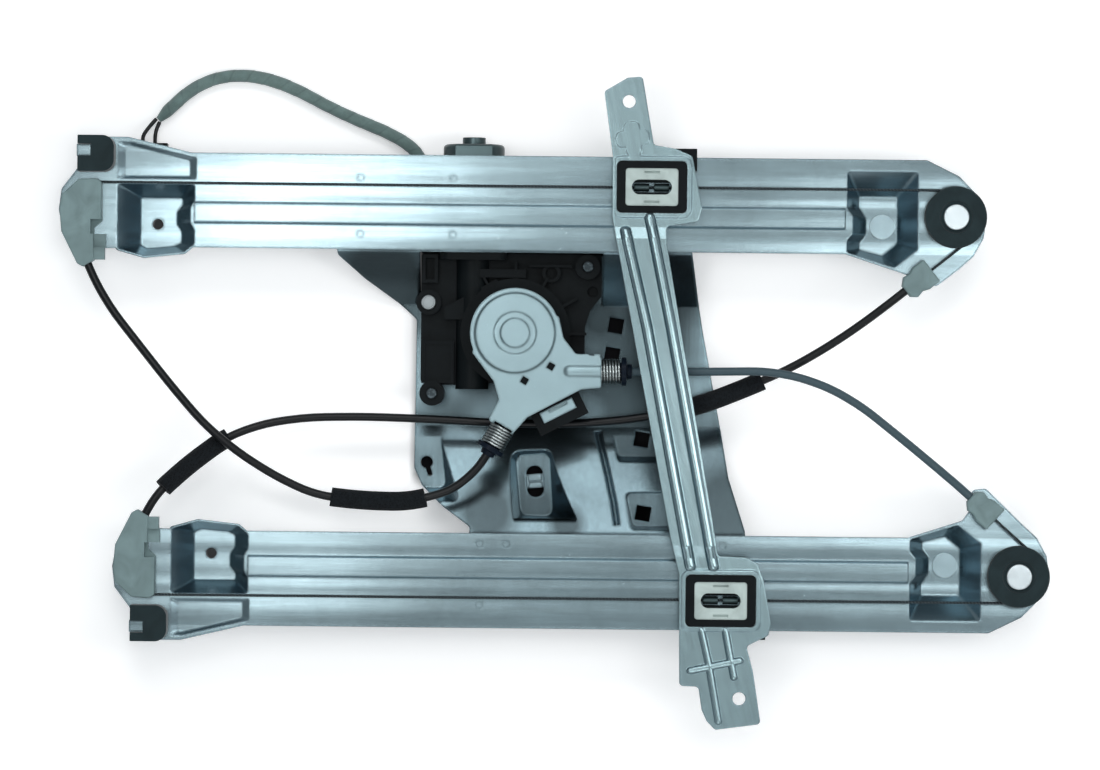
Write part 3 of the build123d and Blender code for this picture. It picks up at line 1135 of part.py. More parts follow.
def main():
    parts = {}
    parts["upper_rail"] = upper(rail(UPPER_HOLE_X, UPPER_PULLEY_X, UPPER_TIP, UPPER_CLINCHES)
                                + rail_tab(UPPER_HOLE_X))
    parts["lower_rail"] = lower(rail(LOWER_HOLE_X, LOWER_PULLEY_X, LOWER_TIP, LOWER_CLINCHES)
                                + rail_tab(LOWER_HOLE_X))
    parts["upper_rail_stud"] = upper(stud(UPPER_PULLEY_X))
    parts["lower_rail_stud"] = lower(stud(LOWER_PULLEY_X))
    parts["upper_pulley"] = Pos(UPPER_PULLEY_X, UPPER_PULLEY_Y, PULLEY_Z) * pulley()
    parts["lower_pulley"] = Pos(LOWER_PULLEY_X, LOWER_PULLEY_Y, PULLEY_Z) * pulley()
    parts["upper_pulley_pin"] = Pos(UPPER_PULLEY_X, UPPER_PULLEY_Y, RAIL_FACE_Z) * pulley_pin()
    parts["lower_pulley_pin"] = Pos(LOWER_PULLEY_X, LOWER_PULLEY_Y, RAIL_FACE_Z) * pulley_pin()
    parts["upper_cable_guide"] = upper(cable_guide(UPPER_HOLE_X, UPPER_EXIT))
    parts["lower_cable_guide"] = lower(cable_guide(LOWER_HOLE_X, LOWER_EXIT))
    parts["upper_bumper"] = upper(bumper(UPPER_HOLE_X))
    parts["lower_bumper"] = lower(bumper(LOWER_HOLE_X))
    parts["upper_conduit_seat"] = upper(conduit_seat(UPPER_PULLEY_X, UPPER_SEAT_ANGLE, UPPER_SEAT_RUN))
    parts["lower_conduit_seat"] = lower(conduit_seat(LOWER_PULLEY_X, LOWER_SEAT_ANGLE, LOWER_SEAT_RUN))
    parts["motor_plate"] = motor_plate()
    parts["plate_clip"] = plate_clip()
    parts["gear_housing"] = gear_housing()
    parts["gear_housing_screws"] = gear_housing_screws()
    parts["motor_can"] = motor_can()
    parts["motor_connector"] = motor_connector()
    parts["drum_housing"] = drum_housing()
    parts["drum_cover"] = drum_cover()
    parts["housing_clip"] = housing_clip()
    parts["cable_drum"] = cable_drum()
    parts["drum_shaft"] = drum_shaft()
    parts["drum_cable_turns"] = drum_cable_turns()
    parts["drum_cable_tails"] = drum_cable_tails()
    for number, spot in enumerate(outlet_spots(), 1):
        parts[f"outlet_{number}_spring"] = outlet_spring(*spot)
        parts[f"outlet_{number}_ferrule"] = outlet_ferrule(*spot)
    parts["carrier_bar"] = carrier_bar()
    parts["upper_slider"] = upper(slider(UPPER_WINDOW_X))
    parts["lower_slider"] = lower(slider(LOWER_WINDOW_X))
    parts["upper_slider_insert"] = upper(slider_insert(UPPER_WINDOW_X))
    parts["lower_slider_insert"] = lower(slider_insert(LOWER_WINDOW_X))
    parts["upper_cable_nipples"] = upper(nipples(UPPER_WINDOW_X))
    parts["lower_cable_nipples"] = lower(nipples(LOWER_WINDOW_X))
    parts["upper_rail_cable"] = upper(rail_cable(UPPER_HOLE_X, UPPER_PULLEY_X, UPPER_EXIT,
                                                 UPPER_SEAT_ANGLE, UPPER_SEAT_RUN))
    parts["lower_rail_cable"] = lower(rail_cable(LOWER_HOLE_X, LOWER_PULLEY_X, LOWER_EXIT,
                                                 LOWER_SEAT_ANGLE, LOWER_SEAT_RUN))
    paths = conduit_paths()
    for number, path in enumerate(paths, 1):
        parts[f"conduit_{number}"] = tube(path, CONDUIT_R, f"conduit_{number}")
    for name, number, start, stop in SLEEVES:
        parts[name] = sleeve(paths[number - 1], start, stop, name)
    parts["harness_sleeve"] = tube(route_path(HARNESS_ROUTE), HARNESS_R, "harness_sleeve")
    parts["harness_wires"] = harness_wires()
    parts["harness_plug"] = harness_plug()
    os.makedirs("parts", exist_ok=True)
    for name, shape in parts.items():
        export_step(shape, f"parts/{name}.step")


main()
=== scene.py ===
import math
import bmesh
import bpy
from bpy.props import FloatProperty, FloatVectorProperty, IntProperty, PointerProperty
from mathutils import Matrix, Vector


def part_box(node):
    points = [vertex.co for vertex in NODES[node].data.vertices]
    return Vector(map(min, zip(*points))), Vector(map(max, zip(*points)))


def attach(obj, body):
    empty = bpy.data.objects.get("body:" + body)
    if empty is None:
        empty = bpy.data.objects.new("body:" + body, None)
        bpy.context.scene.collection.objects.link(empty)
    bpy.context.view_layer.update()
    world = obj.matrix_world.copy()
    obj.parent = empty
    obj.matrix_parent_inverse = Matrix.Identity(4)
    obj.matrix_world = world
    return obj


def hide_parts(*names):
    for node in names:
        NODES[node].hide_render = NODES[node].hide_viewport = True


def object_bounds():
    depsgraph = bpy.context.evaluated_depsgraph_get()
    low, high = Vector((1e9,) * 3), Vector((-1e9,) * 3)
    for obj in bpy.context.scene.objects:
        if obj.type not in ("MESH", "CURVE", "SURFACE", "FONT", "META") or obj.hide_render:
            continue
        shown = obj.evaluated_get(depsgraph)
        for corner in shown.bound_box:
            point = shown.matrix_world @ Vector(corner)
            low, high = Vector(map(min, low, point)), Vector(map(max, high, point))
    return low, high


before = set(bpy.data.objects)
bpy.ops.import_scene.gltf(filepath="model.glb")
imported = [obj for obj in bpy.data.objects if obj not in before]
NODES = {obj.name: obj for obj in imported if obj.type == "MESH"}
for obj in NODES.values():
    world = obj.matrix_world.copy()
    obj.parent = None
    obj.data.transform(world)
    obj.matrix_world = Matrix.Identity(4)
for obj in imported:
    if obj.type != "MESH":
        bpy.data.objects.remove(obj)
CAD_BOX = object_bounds()

bl_info = {
    "name": "Window Regulator Looks",
    "version": (1, 0, 0),
    "blender": (4, 5, 0),
    "location": "View3D > Sidebar > Regulator",
    "description": "Finishes and fine pieces of a two-rail window regulator",
    "category": "Object",
}

MM = 0.001

# The camera: the picture's width in pixels, one pixel at the rails' level, the middle of the view
PHOTO_WIDTH = 1100
PHOTO_PIXEL = 0.6 * MM
PHOTO_CENTRE = (0.0213, -0.0310)
RAIL_LEVEL = 0.040
CAMERA_TURN = 0.6
SENSOR_WIDTH = 36
CAMERA_REACH = 20

# The floor: its side, its depth under the part, its glow and the black of its painted shadows
FLOOR_SIDE = 14
FLOOR_DROP = 0.6 * MM
FLOOR_GLOW = 0.28
FLOOR_SHADOW_BLACK = (0.004, 0.004, 0.005)

# The soft tent over the table: its brightest direction,
# and its colour by the cosine of the angle from there
SKY_AXIS = (-0.10, 0.22, 0.97)
SKY = [(0.0, (0.95, 0.95, 0.95)), (0.07, (0.90, 0.91, 0.92)), (0.20, (0.22, 0.24, 0.26)),
       (0.50, (0.28, 0.31, 0.33)), (0.75, (0.32, 0.35, 0.37)), (0.90, (0.36, 0.39, 0.41)),
       (0.97, (0.58, 0.61, 0.63)), (1.0, (0.95, 0.97, 0.98))]

# The soft lamps: name, place, size and watts
LAMPS = [
    ("lamp_left", (-0.165, 0.115, 0.70), (0.22, 0.17), 0.66),
    ("lamp_low_left", (-0.185, -0.110, 0.70), (0.20, 0.14), 0.24),
    ("lamp_right", (0.350, -0.02, 0.70), (0.13, 0.36), 0.62),
    ("lamp_far", (0.05, 0.95, 1.10), (1.20, 0.40), 6.4),
    ("lamp_near", (0.05, -0.95, 1.10), (1.20, 0.40), 4.2),
    ("lamp_side", (1.00, -0.05, 1.05), (0.30, 1.00), 2.4),
]
# Each lamp looks at the floor under this share of its own X and Y
LAMP_AIM = (0.5, 0.4)

# Painted shadow: the floor is painted dark where the plate and its foot lie on it: reach along X
# and Y
PLATE_PAINTED_SHADOWS = [((-0.064, 0.104), (-0.094, 0.058)), ((-0.016, 0.112), (-0.122, -0.060))]
PAINTED_SHADOW_EDGE = 8 * MM

# Painted shadows on the floor seen through the rails' two left mounting holes, dark from the near
# reach to the far one
PAD_HOLES = [(-0.2162, 0.0635), (-0.1820, -0.1345)]
PAD_NEAR = 4 * MM
PAD_FAR = 10 * MM
PAD_SHADOW_STRENGTH = 0.95

# Painted reflections of the dark room on the plate, soft spots painted dark: X, Y and reach
PLATE_PAINTED_SPOTS = [(-0.080, 0.032, 0.044), (0.093, 0.027, 0.036), (0.131, -0.103, 0.038),
                (0.051, 0.010, 0.018), (-0.016, -0.108, 0.026), (0.032, -0.114, 0.014)]

# Painted dark reflections and painted shade on the plate: full on its floor, fading towards its
# raised parts
PAINTED_SHADE_FLOOR = 2 * MM
PAINTED_SHADE_TOP = 9 * MM

# The rails' rolled bands: the height of their crown by the share of the rail's width,
# from the straight edge that lies RAIL_EDGE from the line halfway between the rails
RAIL_MIDDLE = -0.0355
RAIL_EDGE = 0.0849
RAIL_WIDTH = 0.057
BANDS = [(0.0, 0.1), (0.13, 0.9), (0.245, 0.0), (0.37, 0.5), (0.49, 0.0), (0.57, 0.7), (0.675, 0.1),
         (0.83, 1.1), (1.0, 0.0)]

# The harness, in metres, from the motor's connector to the point where its wires part
HARNESS_ROUTE = [
    (-0.0512, 0.0584, 0.0100), (-0.0512, 0.0720, 0.0100), (-0.0526, 0.0910, 0.0064),
    (-0.0605, 0.1105, 0.0042), (-0.0770, 0.1206, 0.0040), (-0.0970, 0.1284, 0.0040),
    (-0.1150, 0.1365, 0.0040), (-0.1320, 0.1456, 0.0040), (-0.1490, 0.1524, 0.0040),
    (-0.1660, 0.1553, 0.0040), (-0.1830, 0.1536, 0.0040), (-0.1980, 0.1464, 0.0040),
    (-0.2090, 0.1366, 0.0040), (-0.2180, 0.1275, 0.0040),
]
HARNESS_POINT_GAP = 0.7 * MM
HARNESS_SIDES = 28
TAPE_SINK = 0.25 * MM
TAPE_LAP = 0.22 * MM
# Waves of the loom under its tape: height, radians a metre, start
HARNESS_WAVES = [(0.0864 * MM, 95, 0.0), (0.0648 * MM, 41, 1.3)]
# A thicker place: height, distance along the harness, reach
HARNESS_SWELLING = (0.175 * MM, 0.052, 0.012)
# The narrowed ends: share of the thickness there, and the length that would add a whole one
HARNESS_START = (0.62, 0.012)
HARNESS_END = (0.55, 0.016)


# Settings

def colour(label, words, rgb):
    return FloatVectorProperty(name=label, description=words, default=rgb,
                               min=0, max=1, subtype="COLOR")


def length(label, words, millimetres):
    return FloatProperty(name=label, description=words, default=millimetres * MM,
                         unit="LENGTH")


class RegulatorSizes(bpy.types.PropertyGroup):
    tape_radius: length("Harness radius", "Radius of the taped harness", 3.6)
    tape_step: length("Tape step", "Distance between two turns of the harness tape", 11.0)
    wire_radius: length("Spring wire radius", "Radius of the outlet springs' wire", 0.75)
    spring_radius: length("Spring radius", "Outside radius of the outlet springs", 7.7)
    spring_length: length("Spring length", "Length of the outlet springs", 14.0)
    spring_turns: IntProperty(name="Spring turns", description="Turns of the outlet springs",
                              default=7, min=3, max=20)
    outlet_angle: FloatProperty(name="Outlet angle", description="Direction of the lower outlet",
                                default=math.radians(240), subtype="ANGLE")
    lens_distance: length("Lens distance", "Height of the camera above the rails", 3000)


class RegulatorFinishes(bpy.types.PropertyGroup):
    zinc: colour("Zinc", "Galvanised rails", (0.27, 0.36, 0.39))
    zinc_bar: colour("Bar zinc", "Galvanised carrier bar", (0.33, 0.45, 0.475))
    zinc_plate: colour("Plate zinc", "Galvanised motor plate", (0.24, 0.335, 0.37))
    # Painted shade: the colour towards which the sheets' steep walls and rounded edges are painted
    zinc_wall_shade: colour("Deep zinc", "Galvanised sheet in the pressed hollows", (0.135, 0.205, 0.245))
    cover: colour("Cover", "Satin drum cover", (0.29, 0.40, 0.43))
    bright: colour("Bright steel", "Riveted pins", (0.52, 0.58, 0.60))
    cable: colour("Cable", "Twisted cable", (0.035, 0.045, 0.05))
    spring: colour("Spring", "Spring wire", (0.45, 0.50, 0.50))
    motor: colour("Motor", "Plated motor can", (0.08, 0.115, 0.12))
    screw: colour("Screw steel", "Blackened screws", (0.035, 0.045, 0.05))
    black: colour("Black plastic", "Moulded housings", (0.004, 0.006, 0.007))
    drum: colour("Drum plastic", "Cable drum", (0.50, 0.52, 0.48))
    grey_green: colour("Grey-green plastic", "Cable guides and seats", (0.17, 0.24, 0.245))
    light_grey: colour("Light grey plastic", "Slider inserts", (0.42, 0.50, 0.48))
    blue: colour("Blue plastic", "Outlet ferrules", (0.004, 0.008, 0.015))
    rubber: colour("Rubber", "Pulleys and bumpers", (0.013, 0.024, 0.027))
    conduit: colour("Conduit", "Cable conduits", (0.003, 0.004, 0.005))
    conduit_grey: colour("Blue-grey conduit", "The conduit that rises past the carrier",
                         (0.045, 0.075, 0.09))
    foam: colour("Foam", "Foam sleeves", (0.004, 0.005, 0.006))
    tape: colour("Cloth tape", "Harness tape", (0.12, 0.185, 0.175))
    floor: colour("Floor", "Pale floor", (0.94, 0.94, 0.94))


def sizes():
    return bpy.context.scene.regulator_sizes


def finishes():
    return bpy.context.scene.regulator_finishes


# Shader maths

class Value:
    """A socket that can be written in sums."""

    def __init__(self, nodes, socket):
        self.nodes = nodes
        self.socket = socket

    def __add__(self, other):
        return self.nodes.maths("ADD", self, other)

    def __radd__(self, other):
        return self.nodes.maths("ADD", other, self)

    def __sub__(self, other):
        return self.nodes.maths("SUBTRACT", self, other)

    def __rsub__(self, other):
        return self.nodes.maths("SUBTRACT", other, self)

    def __mul__(self, other):
        return self.nodes.maths("MULTIPLY", self, other)

    def __rmul__(self, other):
        return self.nodes.maths("MULTIPLY", other, self)

    def __truediv__(self, other):
        return self.nodes.maths("DIVIDE", self, other)

    def __gt__(self, other):
        return self.nodes.maths("GREATER_THAN", self, other)

    def __lt__(self, other):
        return self.nodes.maths("LESS_THAN", self, other)


class Nodes:
    """The nodes of a material or of the world."""

    def __init__(self, tree):
        self.tree = tree

    def feed(self, socket, value):
        if isinstance(value, Value):
            self.tree.links.new(value.socket, socket)
        elif socket.type == "RGBA" and len(value) == 3:
            socket.default_value = (*value, 1)
        else:
            socket.default_value = value

    def node(self, kind, settings=None, inputs=None, output=0):
        made = self.tree.nodes.new(kind)
        for label, value in (settings or {}).items():
            if label == "stops":
                self.set_stops(made.color_ramp, value)
            elif label == "interpolation":
                made.color_ramp.interpolation = value
            else:
                setattr(made, label, value)
        for label, value in (inputs or {}).items():
            self.feed(made.inputs[label], value)
        return Value(self, made.outputs[output])

    def set_stops(self, ramp, stops):
        while len(ramp.elements) < len(stops):
            ramp.elements.new(1)
        for element, (position, shade) in zip(ramp.elements, stops):
            element.position = position
            element.color = (*shade, 1)

    def maths(self, operation, *values):
        return self.node("ShaderNodeMath", {"operation": operation}, dict(enumerate(values)))

    def largest(self, first, *others):
        for other in others:
            first = self.maths("MAXIMUM", first, other)
        return first


class Finish(Nodes):
    """A material that starts as one Principled shader."""

    def __init__(self, name, **constants):
        self.material = bpy.data.materials.new(name)
        self.material.use_nodes = True
        super().__init__(self.material.node_tree)
        self.shader = self.tree.nodes["Principled BSDF"]
        self.set(**constants)

    def set(self, **inputs):
        for label, value in inputs.items():
            self.feed(self.shader.inputs[label.replace("_", " ")], value)

    def place(self, centre=(0, 0, 0), turn=0.0, stretch=(1, 1, 1)):
        """Object coordinates, turned about Z and stretched, with their zero at the centre."""
        spot = self.node("ShaderNodeTexCoord", output="Object")
        moved = self.node("ShaderNodeMapping", {"vector_type": "TEXTURE"},
                          {"Vector": spot, "Location": centre, "Rotation": (0, 0, turn)})
        return self.node("ShaderNodeMapping", {"vector_type": "POINT"},
                         {"Vector": moved, "Scale": stretch})

    def noise(self, vector, scale, detail=4, roughness=0.55, distortion=0.0):
        return self.node("ShaderNodeTexNoise", None, {
            "Vector": vector, "Scale": scale, "Detail": detail,
            "Roughness": roughness, "Distortion": distortion})

    def cells(self, vector, scale, output="Distance"):
        return self.node("ShaderNodeTexVoronoi", None, {"Vector": vector, "Scale": scale}, output)

    def span(self, value, low, high, new_low=0.0, new_high=1.0):
        """The value carried from low and high to the new low and high, and held between them."""
        return self.node("ShaderNodeMapRange", {"clamp": True}, {
            "Value": value, "From Min": low, "From Max": high,
            "To Min": new_low, "To Max": new_high})

    def part_of(self, vector, axis):
        return self.node("ShaderNodeSeparateXYZ", None, {"Vector": vector}, axis)

    def steepness(self, normal, wall, flat):
        """One where the surface is as steep as the wall, nothing where it lies flat."""
        return self.span(self.part_of(normal, "Z"), wall, flat, 1.0, 0.0)

    def band(self, value, low, high, soft):
        """One between low and high, falling softly to nothing at both."""
        return self.span(value, low, low + soft) * (1 - self.span(value, high - soft, high))

    def soft_spot(self, x, y, near, far):
        """One out to the near reach from an upright line at X and Y, nothing beyond the far one."""
        reach = self.node("ShaderNodeVectorMath", {"operation": "LENGTH"},
                          {0: self.place((x, y, 0), stretch=(1, 1, 0))}, "Value")
        return self.span(reach, near, far, 1.0, 0.0)

    def bands(self):
        """Height of the rails' rolled bands."""
        across = self.part_of(self.place(), "Y")
        share = (self.maths("ABSOLUTE", across - RAIL_MIDDLE) - RAIL_EDGE) / RAIL_WIDTH
        stops = [(position, (height, height, height)) for position, height in BANDS]
        return self.node("ShaderNodeValToRGB", {"interpolation": "B_SPLINE", "stops": stops},
                         {"Fac": share})

    def blend(self, factor, first, second):
        """The first colour where the factor is nothing, the second where it is one."""
        return self.node("ShaderNodeMix", {"data_type": "RGBA"},
                         {0: factor, 6: first, 7: second}, 2)

    def bump(self, height, distance, strength=1.0, rounded=None):
        inputs = {"Height": height, "Distance": distance, "Strength": strength}
        if rounded:
            inputs["Normal"] = rounded
        self.set(Normal=self.node("ShaderNodeBump", None, inputs))


def scaled(rgb, amount):
    return tuple(min(1.0, part * amount) for part in rgb)


# Finishes

def zinc_finish(name, rgb, turn=0.0, painted_dark_reflections=0.0, crown=0.0, painted_spots=(), rounding=2.0):
    """Rolled galvanised sheet: fine lines along the strip, faint crystals, small scuffs.

    Its edges shade as if rounded to that many millimetres, and its steep walls and edges are
    painted darker as painted shade.
    """
    tone = finishes()
    made = Finish(name, Metallic=0.95)
    strip = made.place(turn=turn, stretch=(5, 240, 240))
    flat = made.place()
    lines = made.noise(strip, 6, detail=5, roughness=0.6)
    streaks = made.noise(made.place(turn=turn, stretch=(4, 60, 60)), 6, detail=3, roughness=0.5)
    waves = made.noise(flat, 20, detail=1, roughness=0.3)
    clouds = made.noise(flat, 11, detail=4, roughness=0.55)
    crystals = made.node("ShaderNodeSeparateColor", None,
                         {"Color": made.cells(flat, 210, output="Color")})
    scuffs = made.span(made.noise(flat, 420, detail=6, roughness=0.7, distortion=1.2), 0.66, 0.72)
    patches = made.span(made.noise(flat, 26, detail=3), 0.5, 0.66)
    base = made.blend(made.span(clouds, 0.32, 0.68), scaled(rgb, 0.8), scaled(rgb, 1.2))
    base = made.blend(made.span(streaks, 0.35, 0.75) * 0.35, base, scaled(rgb, 0.6))
    base = made.blend(lines * 0.25, base, scaled(rgb, 0.66))
    base = made.blend(crystals * 0.06, base, scaled(rgb, 1.6))
    base = made.blend(scuffs * patches * 0.3, base, scaled(rgb, 1.7))
    # Painted dark reflections in soft noise patches, stronger on the plate's low floor as painted
    # shade
    if painted_dark_reflections:
        low = made.span(made.part_of(flat, "Z"), PAINTED_SHADE_FLOOR, PAINTED_SHADE_TOP, 1.0, 0.55)
        dark = made.span(made.noise(flat, 19, detail=1, roughness=0.3), 0.38, 0.56) * low
        base = made.blend(dark * painted_dark_reflections, base, scaled(rgb, 0.22))
    edge = made.node("ShaderNodeBevel", {"samples": 4}, {"Radius": rounding * MM})
    wall = made.node("ShaderNodeNewGeometry", output="Normal")
    # Painted shade: steep walls and rounded edges are painted towards the wall-shade colour
    steep = made.largest(made.steepness(edge, 0.55, 0.992), made.steepness(wall, 0.5, 0.96))
    base = made.blend(steep * 0.88, base, tone.zinc_wall_shade)
    # Painted reflections of the dark room: the plate is painted nearly black in soft spots
    for x, y, reach in painted_spots:
        shade = made.soft_spot(x, y, reach * 0.45, reach)
        base = made.blend(shade * 0.85, base, scaled(rgb, 0.12))
    made.set(Base_Color=base, Roughness=0.2 + lines * 0.08 + scuffs * patches * 0.1)
    height = lines * 0.08 + streaks * 0.25 + waves * 4
    if crown:
        height = height + made.bands() * crown
    made.bump(height, 0.0001, 1.0, edge)
    return made.material


def satin_finish(name, rgb, metallic=0.75, roughness=0.38, rounding=1.0):
    """Satin steel with an even fine grain."""
    made = Finish(name, Metallic=metallic)
    flat = made.place()
    grain = made.noise(flat, 1400, detail=3, roughness=0.7)
    clouds = made.noise(flat, 24, detail=3)
    specks = made.span(made.noise(flat, 700, detail=2), 0.72, 0.76)
    base = made.blend(made.span(clouds, 0.3, 0.7), scaled(rgb, 0.92), scaled(rgb, 1.08))
    base = made.blend(grain * 0.25, base, scaled(rgb, 0.7))
    base = made.blend(specks * 0.4, base, scaled(rgb, 1.5))
    edge = made.node("ShaderNodeBevel", {"samples": 4}, {"Radius": rounding * MM})
    # Painted shade: steep walls and rounded edges are painted towards a quarter of the colour
    base = made.blend(made.steepness(edge, 0.6, 0.98) * 0.6, base, scaled(rgb, 0.25))
    made.set(Base_Color=base, Roughness=roughness + grain * 0.12 + specks * 0.1)
    made.bump(grain, 0.00006, 0.5, edge)
    return made.material


def fastener_finish(name, pin_rgb, screw_rgb):
    """Blackened screws, and bright steel on the pin at the far left corner."""
    made = Finish(name, Metallic=1.0)
    spot = made.place()
    left = made.part_of(spot, "X") < -30 * MM
    far = made.part_of(spot, "Y") > 0.0
    grain = made.noise(spot, 1400, detail=3, roughness=0.7)
    # Small bright flecks scattered over the screws
    bright_flecks = made.span(made.noise(spot, 500, detail=4, roughness=0.6), 0.5, 0.62)
    screw = made.blend(bright_flecks * 0.5, screw_rgb, scaled(screw_rgb, 3.5))
    pin = made.blend(grain * 0.4, pin_rgb, scaled(pin_rgb, 0.7))
    made.set(Base_Color=made.blend(left * far, screw, pin), Roughness=0.3 + grain * 0.15)
    made.bump(grain, 0.00006, 0.5)
    return made.material


def turned_finish(name, rgb, centre):
    """Turned steel: fine rings about an upright axis."""
    made = Finish(name, Metallic=1.0)
    spot = made.place(centre=centre, stretch=(1, 1, 0))
    rings = made.node("ShaderNodeTexWave",
                      {"wave_type": "RINGS", "rings_direction": "SPHERICAL"},
                      {"Vector": spot, "Scale": 420, "Distortion": 1.2, "Detail": 2})
    flat = made.place()
    clouds = made.noise(flat, 160, detail=4)
    marks = made.span(made.noise(flat, 900, detail=3, roughness=0.6, distortion=2), 0.64, 0.7)
    base = made.blend(clouds, scaled(rgb, 0.85), scaled(rgb, 1.12))
    base = made.blend(marks * 0.35, base, scaled(rgb, 0.55))
    made.set(Base_Color=base, Roughness=0.24 + rings * 0.1 + marks * 0.2)
    made.bump(rings * 0.6 + marks * 0.4, 0.00005, 0.5)
    return made.material


def moulded_finish(name, rgb, roughness=0.42, grain_scale=1500, sheen=0.0):
    """Moulded plastic with a spark-eroded grain, slight flow marks and a dusty bloom."""
    made = Finish(name, Sheen_Weight=sheen, Specular_IOR_Level=0.08)
    flat = made.place()
    grain = made.noise(flat, grain_scale, detail=2, roughness=0.6)
    flow = made.noise(flat, 60, detail=3, roughness=0.5, distortion=0.8)
    dust = made.span(made.noise(flat, 320, detail=6, roughness=0.7), 0.6, 0.8)
    base = made.blend(made.span(flow, 0.3, 0.7), scaled(rgb, 0.82), scaled(rgb, 1.2))
    base = made.blend(dust * 0.35, base, tuple(part * 1.1 + 0.006 for part in rgb))
    made.set(Base_Color=base, Roughness=roughness + grain * 0.14 + dust * 0.12)
    made.bump(grain * 0.7 + flow * 0.5, 0.00008, 0.6)
    return made.material


def twisted_finish(name, rgb):
    """Twisted steel cable: slanting strands along X."""
    made = Finish(name, Metallic=0.9)
    slant = made.place(turn=math.radians(35))
    strands = made.node("ShaderNodeTexWave", {"wave_type": "BANDS", "bands_direction": "X"},
                        {"Vector": slant, "Scale": 190, "Distortion": 0.6})
    grime = made.noise(made.place(), 900, detail=4)
    base = made.blend(strands * 0.8, scaled(rgb, 0.5), scaled(rgb, 2.4))
    base = made.blend(grime * 0.4, base, scaled(rgb, 0.6))
    made.set(Base_Color=base, Roughness=0.3 + grime * 0.3)
    made.bump(strands, 0.0003, 0.9)
    return made.material


def conduit_finish(name, rgb, roughness=0.28):
    """Extruded conduit cover with a soft gloss and rubbed patches."""
    made = Finish(name, Specular_IOR_Level=0.25)
    flat = made.place()
    ripple = made.noise(flat, 240, detail=2)
    rubs = made.span(made.noise(flat, 90, detail=5, roughness=0.65), 0.56, 0.74)
    base = made.blend(rubs * 0.5, scaled(rgb, 1.0), tuple(part * 1.3 + 0.006 for part in rgb))
    made.set(Base_Color=base, Roughness=roughness + rubs * 0.22 + ripple * 0.08)
    made.bump(ripple, 0.00012, 0.5)
    return made.material


def foam_finish(name, rgb):
    """Matt open foam with small pores."""
    made = Finish(name, Sheen_Weight=0.05, Specular_IOR_Level=0.1)
    flat = made.place()
    pores = made.cells(flat, 900)
    clouds = made.noise(flat, 120, detail=3)
    base = made.blend(made.span(pores, 0.1, 0.6), scaled(rgb, 0.5), scaled(rgb, 2.2))
    base = made.blend(clouds * 0.3, base, scaled(rgb, 2.6))
    made.set(Base_Color=base, Roughness=0.88 + clouds * 0.08)
    made.bump(made.span(pores, 0.0, 0.5), 0.0004, 0.9)
    return made.material


def tape_finish(name, rgb):
    """Cloth tape: a fine weave that follows the wound strip, darker where the edge laps."""
    made = Finish(name, Sheen_Weight=0.3, Roughness=0.8)
    strip = made.node("ShaderNodeTexCoord", output="UV")
    warp, weft = (made.node("ShaderNodeTexWave", {"bands_direction": way},
                            {"Vector": strip, "Scale": 9.0}) for way in "XY")
    lap = made.maths("FRACT", made.part_of(strip, "X"))
    edge = (1 - made.span(lap, 0.0, 0.10)) + made.span(lap, 0.93, 1.0)
    flat = made.place()
    wear = made.span(made.noise(flat, 130, detail=5, roughness=0.6), 0.4, 0.72)
    fuzz = made.noise(flat, 2200, detail=2)
    base = made.blend(warp * weft, scaled(rgb, 0.78), scaled(rgb, 1.18))
    base = made.blend(edge * 0.55, base, scaled(rgb, 0.42))
    base = made.blend(wear * 0.5, base, scaled(rgb, 1.5))
    base = made.blend(fuzz * 0.2, base, scaled(rgb, 0.6))
    made.set(Base_Color=base)
    made.bump(warp * 0.5 + weft * 0.5 + fuzz * 0.4, 0.00012, 0.8)
    return made.material


def dress(material, *names):
    """Gives CAD nodes their material."""
    for name in names:
        for slot in NODES[name].material_slots:
            slot.material = material


# Modelling helpers

def start():
    """Nothing selected, no piece being edited."""
    if bpy.context.object and bpy.context.object.mode != "OBJECT":
        bpy.ops.object.mode_set(mode="OBJECT")
    bpy.ops.object.select_all(action="DESELECT")


def take(piece):
    """Selects the piece alone."""
    start()
    piece.select_set(True)
    bpy.context.view_layer.objects.active = piece


def settle(piece, place=None):
    """Puts the piece's turn and place into its mesh."""
    take(piece)
    if place is not None:
        piece.matrix_world = place
    bpy.ops.object.transform_apply(location=True, rotation=True, scale=True)


def give(piece, name, body, material, angle=40):
    """Names, dresses and mounts a finished piece."""
    piece.name = name
    piece.data.name = name
    piece.data.materials.clear()
    piece.data.materials.append(material)
    take(piece)
    bpy.ops.object.shade_smooth_by_angle(angle=math.radians(angle))
    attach(piece, body)
    return piece


def apply_all(piece):
    """Makes the piece's modifiers part of its mesh."""
    take(piece)
    for modifier in list(piece.modifiers):
        bpy.ops.object.modifier_apply(modifier=modifier.name)


def middle(node):
    """The middle of a node's box."""
    low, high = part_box(node)
    return (low + high) / 2


# Stage

